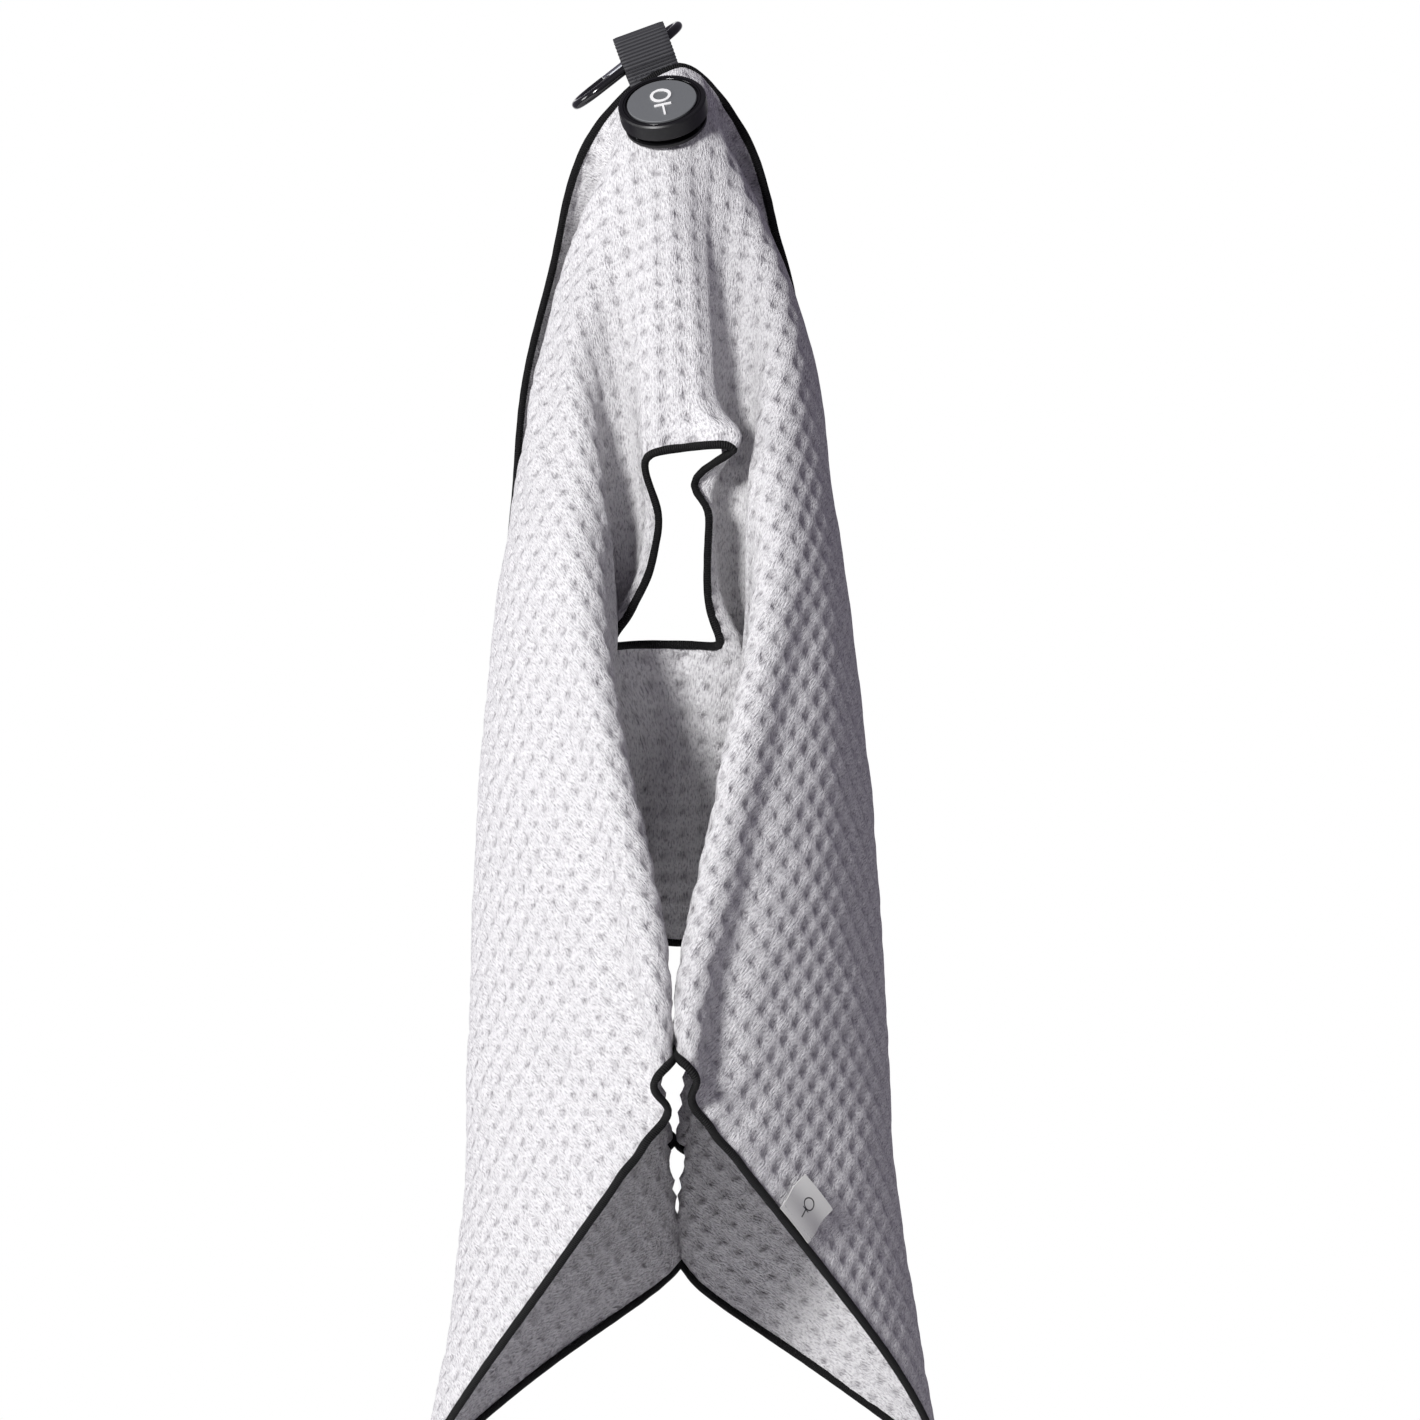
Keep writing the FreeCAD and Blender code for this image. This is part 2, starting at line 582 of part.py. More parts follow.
def make_slot_hem():
    """The bound edge round the slot."""
    wide = size("slot_width") / 2
    high = size("slot_length") / 2
    cut_in = size("slot_corner")
    flat = []
    for corner, (side, end) in enumerate(((1, 1), (-1, 1), (-1, -1), (1, -1))):
        for step in range(4):
            turn = math.radians(90 * corner + 30 * step)
            flat.append(Vector(side * (wide - cut_in) + cut_in * math.cos(turn), 0,
                               end * (high - cut_in) + cut_in * math.sin(turn)))
    hem = doc.addObject("Part::Feature", "slot_cord")
    hem.Shape = cord([SLOT.multVec(spot) for spot in flat], size("hem_radius"))
    finish("slot_hem", hem)


def make_side_label(grid):
    """A folded satin tag caught in the front hem, right of the middle, and its row of stitches. It
    lies back over the front of the cloth."""
    right_lines = grid[len(FOLD_LINES) - 1:]
    inner = right_lines[LABEL_AFTER][-1]
    outer = right_lines[LABEL_AFTER + 1][-1]
    near = size("towel_width") * math.tan(math.radians(FOLD_LINES[LABEL_AFTER][0]))
    far = size("towel_width") * math.tan(math.radians(FOLD_LINES[LABEL_AFTER + 1][0]))
    share = (size("label_place") - near) / (far - near)
    along = (outer - inner).normalize()
    front = along.cross(right_lines[LABEL_AFTER][-2] - inner).normalize()
    if front.y > 0:
        front = -front
    spot = inner + (outer - inner) * share
    frame = Placement(spot, Rotation(along, front.cross(along), front, "ZXY"))
    tag = shape("Box", "label_fold", None, Length="label_width", Width="label_drop",
                Height="label_thick")
    finish("side_label", tag)
    tag.Placement = frame * Placement(Vector(-size("label_width") / 2, LABEL_ROOT, LABEL_LIFT),
                                      Rotation())
    stitches = []
    for number in range(9):
        place = ["-label_width / 2 + %.2f" % (1.3 + 2.6 * number), "hem_radius + 0.6",
                 "label_thick + %.2f" % (LABEL_LIFT - 0.1)]
        stitches.append(shape("Box", "label_stitch_%d" % number, place, Length="1.7", Width="0.5",
                              Height="0.35"))
    finish("label_stitching", group("label_stitches", stitches), frame)


def export():
    """Check every object and every piece, then write one file per piece."""
    doc.recompute()
    for item in doc.Objects:
        for state in item.State:
            if state in ("Invalid", "Error"):
                raise RuntimeError("%s is %s" % (item.Name, state))
    os.makedirs("parts", exist_ok=True)
    for label, item in pieces.items():
        if item.Shape.isNull() or not item.Shape.isValid():
            raise RuntimeError(label + " has no valid shape")
        item.Shape.exportStep("parts/%s.step" % label)
        print("%-20s solids %2d  volume %10.2f" % (label, len(item.Shape.Solids), item.Shape.Volume))


make_puck_rear_casing()
make_clamp_screws()
make_puck_base_ring()
make_puck_front_casing()
make_puck_magnet()
make_puck_badge()
make_puck_motif()
make_webbing_loop()
make_loop_stitching()
make_hook_body()
make_gate()
make_gate_pins()
make_gate_spring()
towel_grid = make_cloth()
make_outer_hem(towel_grid)
make_slot_hem()
make_side_label(towel_grid)
export()
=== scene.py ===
import math

import bmesh
import bpy
import numpy as np
from mathutils import Matrix, Vector, noise


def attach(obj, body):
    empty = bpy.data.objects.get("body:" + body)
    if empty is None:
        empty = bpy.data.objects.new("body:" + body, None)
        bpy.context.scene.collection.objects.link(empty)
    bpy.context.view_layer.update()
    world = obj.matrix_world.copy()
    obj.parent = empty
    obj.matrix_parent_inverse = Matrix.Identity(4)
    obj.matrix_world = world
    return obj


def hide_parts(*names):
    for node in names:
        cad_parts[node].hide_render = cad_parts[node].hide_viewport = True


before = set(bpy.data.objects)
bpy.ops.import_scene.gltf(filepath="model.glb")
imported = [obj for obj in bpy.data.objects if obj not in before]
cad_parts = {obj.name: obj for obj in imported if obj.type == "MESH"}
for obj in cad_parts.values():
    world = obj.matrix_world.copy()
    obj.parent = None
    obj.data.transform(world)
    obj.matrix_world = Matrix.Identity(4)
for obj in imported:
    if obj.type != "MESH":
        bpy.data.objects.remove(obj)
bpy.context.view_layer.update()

# ---------------------------------------------------------------------------------------------
# Towel cloth
# A 1100 x 423 mm piece of white waffle microfibre, woven in small cells with a fuzzy pile. It
# hangs from the puck clamped near the middle of one long edge, so it falls in folds that fan out
# from that point. A bound slot is cut through its middle.

CELL = 0.010583
CELLS_LONG = 104
CELLS_WIDE = 40
TOWEL_LONG = CELLS_LONG * CELL
TOWEL_WIDE = CELLS_WIDE * CELL
SLOT_HALF_CELLS = 2
SLOT_FROM_CELL = 18
SLOT_TO_CELL = 27
PUCK_TO_EDGE = 0.033
CLAMP_MIDDLE = 0.0038
PUCK_TURN = Matrix.Rotation(math.radians(-12), 3, "Y") @ Matrix.Rotation(math.radians(43), 3, "X")
EDGE_MIDDLE = PUCK_TURN @ Vector((0, PUCK_TO_EDGE, CLAMP_MIDDLE))

# Where the cloth runs, fold line by fold line, from the centre line out to each side. A fold line
# is an angle on the flat cloth, seen from the middle of the top edge. Its shares are how far it
# goes to the right and to the rear for each metre along it: at the collar, at the shoulder,
# beside the slot and at the cloth's edge.
RIGHT_FOLDS = [
    (0, (0.11, -0.600), (0.080, -0.500), (0.050, -0.265), (0.022, 0.025)),
    (6, (0.20, -0.585), (0.180, -0.500), (0.110, -0.280), (0.110, 0.025)),
    (9, (0.245, -0.57), (0.230, -0.485), (0.135, -0.235), (0.145, -0.010)),
    (14, (0.32, -0.53), (0.285, -0.430), (0.155, -0.155), (0.135, -0.085)),
    (20, (0.40, -0.46), (0.310, -0.345), (0.175, -0.250), (0.100, -0.165)),
    (31, (0.56, -0.35), (0.465, -0.360), (0.255, -0.345), (0.014, -0.285)),
    (36, (0.615, -0.28), (0.520, -0.305), (0.320, -0.300), (0.042, -0.262)),
    (41, (0.67, -0.20), (0.565, -0.225), (0.368, -0.215), (0.090, -0.212)),
    (45, (0.71, -0.13), (0.578, -0.145), (0.378, -0.125), (0.138, -0.150)),
    (48, (0.735, -0.08), (0.585, -0.095), (0.373, -0.080), (0.176, -0.095)),
    (52, (0.765, -0.02), (0.590, -0.025), (0.358, -0.015), (0.203, -0.015)),
    (59, (0.81, 0.05), (0.586, 0.090), (0.310, 0.090), (0.110, 0.080)),
    (66, (0.84, 0.09), (0.575, 0.200), (0.235, 0.170), (-0.010, 0.165)),
    (73, (0.86, 0.11), (0.515, 0.285), (0.170, 0.235), (0.090, 0.225)),
    (81, (0.88, 0.08), (0.475, 0.335), (0.200, 0.345), (0.025, 0.280)),
    (90, (0.905, 0.02), (0.590, 0.220), (0.290, 0.235), (0.120, 0.215)),
]
LEFT_FOLDS = [
    (-6, (0.01, -0.59), (-0.015, -0.475), (-0.005, -0.270), (-0.070, 0.025)),
    (-9, (-0.04, -0.575), (-0.060, -0.450), (-0.045, -0.235), (-0.105, -0.010)),
    (-14, (-0.12, -0.54), (-0.130, -0.400), (-0.075, -0.155), (-0.095, -0.085)),
    (-20, (-0.22, -0.49), (-0.210, -0.335), (-0.070, -0.260), (-0.060, -0.165)),
    (-31, (-0.37, -0.35), (-0.345, -0.205), (-0.160, -0.378), (0.029, -0.285)),
    (-36, (-0.43, -0.27), (-0.392, -0.125), (-0.245, -0.295), (0.008, -0.262)),
    (-41, (-0.48, -0.19), (-0.425, -0.055), (-0.288, -0.215), (-0.040, -0.212)),
    (-45, (-0.52, -0.11), (-0.425, 0.015), (-0.305, -0.145), (-0.086, -0.155)),
    (-48, (-0.56, -0.06), (-0.428, 0.065), (-0.310, -0.095), (-0.124, -0.108)),
    (-52, (-0.58, 0.00), (-0.420, 0.130), (-0.305, -0.030), (-0.165, -0.035)),
    (-59, (-0.60, 0.10), (-0.400, 0.240), (-0.265, 0.080), (-0.080, 0.080)),
    (-66, (-0.60, 0.18), (-0.335, 0.330), (-0.170, 0.160), (0.045, 0.165)),
    (-73, (-0.59, 0.22), (-0.320, 0.345), (-0.110, 0.225), (-0.060, 0.225)),
    (-81, (-0.63, 0.17), (-0.430, 0.265), (-0.215, 0.310), (0.005, 0.280)),
    (-90, (-0.67, 0.06), (-0.505, 0.120), (-0.320, 0.180), (-0.090, 0.215)),
]
COLLAR = 0.055
SHOULDER = 0.10
SLOT_LEVEL = 0.24
# The flat patch clamped under the puck, to its sides and how much further downwards.
PATCH_SIDE = 0.020
PATCH_DEEP = 0.030

fold_lines = list(reversed(LEFT_FOLDS)) + RIGHT_FOLDS
fold_angles = np.array([line[0] for line in fold_lines], float)


def smooth_curve(known, values, asked):
    """A smooth curve through the values, read at the asked places."""
    step = np.diff(known)
    rise = np.diff(values) / step
    slope = np.zeros_like(values)
    slope[1:-1] = (rise[:-1] * step[1:] + rise[1:] * step[:-1]) / (step[1:] + step[:-1])
    slope[0] = rise[0]
    slope[-1] = rise[-1]
    spot = np.clip(np.searchsorted(known, asked) - 1, 0, len(step) - 1)
    part = (asked - known[spot]) / step[spot]
    left = values[spot] * (1 + 2 * part) * (1 - part) ** 2
    left += slope[spot] * step[spot] * part * (1 - part) ** 2
    right = values[spot + 1] * part ** 2 * (3 - 2 * part)
    right += slope[spot + 1] * step[spot] * part ** 2 * (part - 1)
    return left + right


def shares(level, angle):
    """The sideways and rearward shares of a fold line at one of the four levels."""
    across = np.array([line[level][0] for line in fold_lines])
    back = np.array([line[level][1] for line in fold_lines])
    return np.stack([smooth_curve(fold_angles, across, angle),
                     smooth_curve(fold_angles, back, angle)], -1)


def along(share, reach):
    """The place at this reach from the middle of the top edge, in the direction of the shares."""
    down = -np.sqrt(1 - (share ** 2).sum(-1))
    return np.array(EDGE_MIDDLE) + np.dstack([share, down]) * reach[..., None]


def hang(across, down):
    """Where each point of the flat cloth hangs."""
    reach = np.hypot(across, down)
    angle = np.degrees(np.arctan2(across, down))
    turn = np.array(PUCK_TURN).T
    patch = np.array(EDGE_MIDDLE) + np.dstack([across, -down, 0 * down]) @ turn
    rim_reach = PATCH_SIDE + PATCH_DEEP * np.cos(np.radians(angle)) ** 2
    rim_flat = np.dstack([np.sin(np.radians(angle)), -np.cos(np.radians(angle)), 0 * angle])
    rim = np.array(EDGE_MIDDLE) + (rim_flat * rim_reach[..., None]) @ turn
    collar = shares(1, angle)
    shoulder = shares(2, angle)
    middle = shares(3, angle)
    low = shares(4, angle)
    part = np.clip((reach - rim_reach) / (COLLAR - rim_reach), 0, 1)[..., None]
    near = rim * (1 - part) + along(collar, 0 * reach + COLLAR) * part
    part = np.clip((reach - COLLAR) / (SHOULDER - COLLAR), 0, 1)[..., None]
    neck = along(collar * (1 - part) + shoulder * part, reach)
    part = np.clip((reach - SHOULDER) / (SLOT_LEVEL - SHOULDER), 0, 1)[..., None]
    part = part ** 2 * (3 - 2 * part)
    body = along(shoulder * (1 - part) + middle * part, reach)
    sine = np.maximum(np.sin(np.radians(np.abs(angle))), 1e-6)
    edge = np.minimum(TOWEL_WIDE / np.maximum(np.cos(np.radians(angle)), 1e-6),
                      TOWEL_LONG / 2 / sine)
    part = np.clip((reach - SLOT_LEVEL) / (edge - SLOT_LEVEL), 0, 1)[..., None]
    part = part * (1.5 - 0.5 * part)
    skirt = along(middle * (1 - part) + low * part, reach)
    place = np.where((reach < SLOT_LEVEL)[..., None], body, skirt)
    place = np.where((reach < SHOULDER)[..., None], neck, place)
    place = np.where((reach < COLLAR)[..., None], near, place)
    return np.where((reach < rim_reach)[..., None], patch, place)


# The two sides meet on a slanting line. Each stops this far short of it, and just past it where the
# value is negative, so that the pile of one side presses into the other.
MEETING_SLANT = 0.022
MEETING_GAP = -0.0002
MEETING_FROM = 0.05
# How the cloth settles in each round: the sag, the pull back to the fold plan, how strongly threads
# keep their length, and how sharp a fold may be and how strongly it opens.
ROUNDS = 400
SAG = 2e-5
PLAN_HOLD = 0.003
THREAD_HOLD = 1.6
FOLD_LIMIT = 0.9
FOLD_HOLD = 0.25
# What is held still: the cloth under the puck, and the part sewn to the webbing loop.
PUCK_HOLDS = 0.026
LOOP_HOLDS_SIDE = 0.0135
LOOP_HOLDS_DEEP = 0.014


def thread_links(woven):
    """Pairs of grid points held at their flat distance, and the pairs that keep folds round."""
    number = np.arange(woven.size + sum(woven.shape) + 1).reshape(woven.shape[0] + 1, -1)
    rows = np.zeros((woven.shape[0], woven.shape[1] + 1), bool)
    rows[:, :-1] |= woven
    rows[:, 1:] |= woven
    columns = np.zeros((woven.shape[0] + 1, woven.shape[1]), bool)
    columns[:-1] |= woven
    columns[1:] |= woven
    pairs = [(number[:-1], number[1:], rows), (number[:, :-1], number[:, 1:], columns),
             (number[:-1, :-1], number[1:, 1:], woven), (number[1:, :-1], number[:-1, 1:], woven)]
    long_pairs = [(number[:-2], number[2:], rows[:-1] & rows[1:]),
                  (number[:, :-2], number[:, 2:], columns[:, :-1] & columns[:, 1:])]
    held = np.concatenate([np.stack([a[k], b[k]], -1) for a, b, k in pairs])
    bent = np.concatenate([np.stack([a[k], b[k]], -1) for a, b, k in long_pairs])
    return held, bent


def pull(place, pairs, wanted, share):
    """One round of moving each pair of points towards its wanted distance."""
    apart = place[pairs[:, 1]] - place[pairs[:, 0]]
    length = np.linalg.norm(apart, axis=1) + 1e-12
    move = apart * ((length - wanted) / length * 0.5)[:, None]
    total = np.zeros_like(place)
    for axis in range(3):
        total[:, axis] = np.bincount(pairs[:, 0], move[:, axis], len(place))
        total[:, axis] -= np.bincount(pairs[:, 1], move[:, axis], len(place))
    return total * share


def settle(flat, start, woven, clamped, rounds):
    """Let the cloth find its true size and sag, held by the clamp, its two sides meeting on a line
    below the puck without passing through each other."""
    held, bent = thread_links(woven)
    held_size = np.linalg.norm(flat[held[:, 0]] - flat[held[:, 1]], axis=1)
    bent_size = np.linalg.norm(flat[bent[:, 0]] - flat[bent[:, 1]], axis=1)
    share = (THREAD_HOLD / (np.bincount(held.ravel(), minlength=len(flat)) + 1e-9))[:, None]
    loose = (~clamped)[:, None].astype(float)
    apart = np.clip((np.abs(flat[:, 0]) - MEETING_FROM) / MEETING_FROM, 0, 1)
    apart *= np.clip((-flat[:, 1] - SLOT_LEVEL) / CELL, 0, 1)
    side = np.sign(flat[:, 0])
    place = start.copy()
    for turn in range(rounds):
        place[:, 2] -= SAG * loose[:, 0]
        place += PLAN_HOLD * (start - place) * loose
        place += pull(place, held, held_size, share) * loose
        length = np.linalg.norm(place[bent[:, 1]] - place[bent[:, 0]], axis=1)
        place += pull(place, bent, np.maximum(length, FOLD_LIMIT * bent_size), FOLD_HOLD) * loose
        meeting = EDGE_MIDDLE.x + MEETING_SLANT * (EDGE_MIDDLE.z - place[:, 2])
        crossed = np.maximum(MEETING_GAP - side * (place[:, 0] - meeting), 0)
        place[:, 0] += side * crossed * apart
    return place


across, down = np.meshgrid((np.arange(CELLS_LONG + 1) - CELLS_LONG / 2) * CELL,
                           np.arange(CELLS_WIDE + 1) * CELL, indexing="ij")
cell_x, cell_y = np.meshgrid(np.arange(CELLS_LONG) + 0.5 - CELLS_LONG / 2,
                             np.arange(CELLS_WIDE) + 0.5, indexing="ij")
in_slot = (np.abs(cell_x) < SLOT_HALF_CELLS) & (cell_y > SLOT_FROM_CELL) & (cell_y < SLOT_TO_CELL)
woven_cells = ~in_slot
flat_cloth = np.dstack([across, -down, 0 * down]).reshape(-1, 3)
from_puck = np.hypot(across, down - PUCK_TO_EDGE).ravel()
sewn_points = (np.abs(across) < LOOP_HOLDS_SIDE) & (down < LOOP_HOLDS_DEEP)
clamped_points = (from_puck < PUCK_HOLDS) | sewn_points.ravel()
hung_cloth = settle(flat_cloth, hang(across, down).reshape(-1, 3), woven_cells, clamped_points,
                    ROUNDS)

cloth_faces = []
for i, j in zip(*np.nonzero(woven_cells)):
    first = int(i * (CELLS_WIDE + 1) + j)
    second = first + CELLS_WIDE + 1
    cloth_faces.append((first, first + 1, second + 1, second))
cloth_mesh = bpy.data.meshes.new("towel_cloth_visual")
cloth_mesh.from_pydata(hung_cloth.tolist(), [], cloth_faces)
cut_place = cloth_mesh.attributes.new("cut_place", "FLOAT_VECTOR", "POINT")
cut_place.data.foreach_set("vector", flat_cloth.ravel())
cloth = bpy.data.objects.new("towel_cloth_visual", cloth_mesh)
bpy.context.scene.collection.objects.link(cloth)
bpy.ops.object.select_all(action="DESELECT")
cloth.select_set(True)
bpy.context.view_layer.objects.active = cloth
bpy.ops.object.mode_set(mode="EDIT")
bpy.ops.mesh.select_all(action="SELECT")
bpy.ops.mesh.delete_loose()
bpy.ops.object.mode_set(mode="OBJECT")
finer = cloth.modifiers.new("finer weave", "SUBSURF")
finer.levels = 2
finer.render_levels = 2
finer.boundary_smooth = "PRESERVE_CORNERS"
bpy.ops.object.modifier_apply(modifier=finer.name)


def read_points(mesh, name="position"):
    values = np.zeros(len(mesh.vertices) * 3, np.float32)
    mesh.attributes[name].data.foreach_get("vector", values)
    return values.reshape(-1, 3).astype(float)


def read_normals(mesh):
    values = np.zeros(len(mesh.vertices) * 3, np.float32)
    mesh.vertices.foreach_get("normal", values)
    return values.reshape(-1, 3).astype(float)


def edge_loops(mesh):
    """The open edges of the cloth, as rings of vertex numbers in order."""
    whole = bmesh.new()
    whole.from_mesh(mesh)
    following = {}
    for side in whole.edges:
        if side.is_boundary:
            turn = side.link_loops[0]
            following[turn.vert.index] = turn.link_loop_next.vert.index
    whole.free()
    rings = []
    while following:
        ring = [next(iter(following))]
        while ring[-1] in following:
            ring.append(following.pop(ring[-1]))
        rings.append(ring[:-1])
    return sorted(rings, key=len)


smooth_place = read_points(cloth.data)
smooth_normal = read_normals(cloth.data)
cut = read_points(cloth.data, "cut_place")
slot_ring, outer_ring = edge_loops(cloth.data)

# The slot's edge is bound tighter than the cloth round it, so its sides draw in and ruffle and
# its upper right corner turns outwards. Each pull is a place on the flat cloth, how far the cloth
# there moves, and how far round it the pull is felt.
SLOT_PULLS = [
    ((0.021, -0.188), (0.014, -0.012, 0.003), 0.014),
    ((0.021, -0.201), (-0.014, 0.012, 0.000), 0.009),
    ((-0.021, -0.215), (0.004, 0.003, 0.000), 0.014),
    ((-0.021, -0.286), (-0.018, -0.005, 0.011), 0.026),
    ((0.021, -0.286), (0.008, -0.005, 0.010), 0.024),
    ((-0.021, -0.255), (-0.004, 0.000, 0.000), 0.014),
    ((0.020, 0.000), (0.001, 0.000, 0.008), 0.022),
]
for spot, move, felt in SLOT_PULLS:
    nearness = np.exp(-((cut[:, :2] - spot) ** 2).sum(-1) / felt ** 2)
    smooth_place += nearness[:, None] * np.array(move)

# The weave: a soft pillow of pile per cell with a pit at its middle, pressed flat under the puck
# and against the hems, and a slow unevenness in the hang of the whole cloth.
RELIEF = 0.0021
RELIEF_MIDDLE = 0.6
RIPPLE = 0.0012
RIPPLE_SCALES = (18, 41)
PRESSED_TO = 0.022
PRESSED_FADE = 0.012
HEMMED_FADE = 0.008


def ridge_line(part):
    return np.abs(np.cos(math.pi * part)) ** 2


height = 1 - (1 - ridge_line(cut[:, 0] / CELL)) * (1 - ridge_line(cut[:, 1] / CELL))
from_clamp = np.hypot(cut[:, 0], -cut[:, 1] - PUCK_TO_EDGE)
pressed = np.clip((from_clamp - PRESSED_TO) / PRESSED_FADE, 0, 1)
to_rim = np.minimum(-cut[:, 1], TOWEL_WIDE + cut[:, 1])
to_rim = np.minimum(TOWEL_LONG / 2 - np.abs(cut[:, 0]), to_rim)
hemmed = np.clip(to_rim / HEMMED_FADE, 0, 1)
broad, close = RIPPLE_SCALES
slow = np.array([noise.noise(Vector(p) * broad) + 0.5 * noise.noise(Vector(p) * close)
                 for p in cut])
lift = (RELIEF * (height - RELIEF_MIDDLE) * hemmed + RIPPLE * slow) * pressed
cloth.data.vertices.foreach_set("co", (smooth_place + smooth_normal * lift[:, None]).ravel())
bpy.ops.object.shade_smooth()


def colour(code):
    """A linear colour from an sRGB hex value."""
    parts = [int(code[n:n + 2], 16) / 255 for n in (1, 3, 5)]
    return [c / 12.92 if c <= 0.04045 else ((c + 0.055) / 1.055) ** 2.4 for c in parts] + [1.0]


def new_material(name):
    """A new material and its shader."""
    made = bpy.data.materials.new(name)
    made.use_nodes = True
    return made, made.node_tree.nodes["Principled BSDF"]


def add(material, kind, links=(), **settings):
    """Add a node. Settings name its options or its inputs, and links are (from, output, input)."""
    node = material.node_tree.nodes.new(kind)
    for name, value in settings.items():
        if hasattr(node, name):
            setattr(node, name, value)
        else:
            node.inputs[name.replace("_", " ")].default_value = value
    for source, output, target in links:
        material.node_tree.links.new(source.outputs[output], node.inputs[target])
    return node


def join(material, source, output, target, socket):
    material.node_tree.links.new(source.outputs[output], target.inputs[socket])


# Microfibre terry: split polyester fibres raised into a short matt pile that is brushed one way.
# It gives a soft edge glow and, from the bump, streaky little shadows between tufts, one pit of the
# weave to a 10.6 mm cell. The colour also carries painted shade: grey between tufts, darker and
# cooler in the pits.
TUFT = 0.0009
towelling, towelling_face = new_material("waffle microfibre")
place = add(towelling, "ShaderNodeAttribute", attribute_name="cut_place")
parts = add(towelling, "ShaderNodeSeparateXYZ", [(place, "Vector", "Vector")])
wander = add(towelling, "ShaderNodeTexNoise", [(place, "Vector", "Vector")], Scale=160, Detail=1)
waves = []
for axis in ("X", "Y"):
    steps = add(towelling, "ShaderNodeMath", [(parts, axis, 0)], operation="MULTIPLY")
    steps.inputs[1].default_value = math.pi / CELL
    nudged = add(towelling, "ShaderNodeMath", [(wander, "Fac", 0), (steps, 0, 2)],
                 operation="MULTIPLY_ADD")
    nudged.inputs[1].default_value = 0.9
    wave = add(towelling, "ShaderNodeMath", [(nudged, 0, 0)], operation="SINE")
    waves.append(add(towelling, "ShaderNodeMath", [(wave, 0, 0), (wave, 0, 1)],
                     operation="MULTIPLY"))
pit = add(towelling, "ShaderNodeMath", [(waves[0], 0, 0), (waves[1], 0, 1)], operation="MULTIPLY")
pit_core = add(towelling, "ShaderNodeMath", [(pit, 0, 0)], operation="POWER")
pit_core.inputs[1].default_value = 3.0
strands = add(towelling, "ShaderNodeMapping", [(place, "Vector", "Vector")],
              Rotation=(0, 0, math.radians(-10)), Scale=(1 / TUFT, 0.35 / TUFT, 1 / TUFT))
pile = add(towelling, "ShaderNodeTexNoise", [(strands, "Vector", "Vector")],
           Scale=1.0, Detail=3, Roughness=0.6)
other_way = add(towelling, "ShaderNodeMapping", [(place, "Vector", "Vector")],
                Rotation=(0, 0, math.radians(80)), Scale=(1.2 / TUFT, 0.4 / TUFT, 1.2 / TUFT))
cross_pile = add(towelling, "ShaderNodeTexNoise", [(other_way, "Vector", "Vector")],
                 Scale=1.0, Detail=3, Roughness=0.6)
heap = add(towelling, "ShaderNodeMath", [(pile, "Fac", 0), (cross_pile, "Fac", 1)], operation="ADD")
sunk = add(towelling, "ShaderNodeMath", [(pit_core, 0, 0), (heap, 0, 2)], operation="MULTIPLY_ADD")
sunk.inputs[1].default_value = -1.2
raised = add(towelling, "ShaderNodeBump", [(sunk, 0, "Height")], Strength=1.0, Distance=0.0016)
join(towelling, raised, "Normal", towelling_face, "Normal")
# Painted shade between tufts: the colour greys where the pile noise is low.
painted_tuft_shade = add(towelling, "ShaderNodeMapRange", [(heap, 0, "Value")],
           **{"From_Min": 0.75, "From_Max": 1.05, "To_Min": 0.75, "To_Max": 0.0})
# Painted shade in the pits of the weave, added to the painted shade between tufts; it darkens the
# base colour.
depth = add(towelling, "ShaderNodeMath", [(pit_core, 0, 0), (painted_tuft_shade, 0, 2)], operation="MULTIPLY_ADD")
depth.inputs[1].default_value = 0.35
towel_tone_with_painted_shade = add(towelling, "ShaderNodeMix", [(depth, 0, "Factor")], data_type="RGBA")
towel_tone_with_painted_shade.inputs[6].default_value = colour("#f3f2f3")
towel_tone_with_painted_shade.inputs[7].default_value = colour("#9b979c")
join(towelling, towel_tone_with_painted_shade, 2, towelling_face, "Base Color")
towelling_face.inputs["Roughness"].default_value = 0.95
towelling_face.inputs["Specular IOR Level"].default_value = 0.15
towelling_face.inputs["Sheen Weight"].default_value = 0.2
towelling_face.inputs["Sheen Roughness"].default_value = 0.5
cloth.data.materials.append(towelling)

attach(cloth, "towel")
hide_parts("towel_cloth")

# ---------------------------------------------------------------------------------------------
# Bound edges
# Black polyester yarn overlocked round the raw edge of the cloth, right round the outside and
# round the slot, so that each edge looks like a tight cord about 4 mm thick.

HEM_WIDE = 0.0021
HEM_THICK = 0.0018
YARN_PITCH = 0.00106
HEM_SIDES = 10
# How far the cord's middle lies inside the cloth's edge, and how uneven its thickness is.
HEM_INSET = 0.0006
HEM_UNEVEN = 0.07


def even_points(ring, spacing):
    """A closed run of points, respaced evenly, with the cloth's normal at each."""
    spots = np.vstack([smooth_place[ring], smooth_place[ring[:1]]])
    faces = np.vstack([smooth_normal[ring], smooth_normal[ring[:1]]])
    length = np.concatenate([[0], np.cumsum(np.linalg.norm(np.diff(spots, axis=0), axis=1))])
    asked = np.linspace(0, length[-1], int(length[-1] / spacing) + 1)[:-1]
    place = np.stack([np.interp(asked, length, spots[:, n]) for n in range(3)], -1)
    normal = np.stack([np.interp(asked, length, faces[:, n]) for n in range(3)], -1)
    return place, normal / np.linalg.norm(normal, axis=1)[:, None], length[-1]


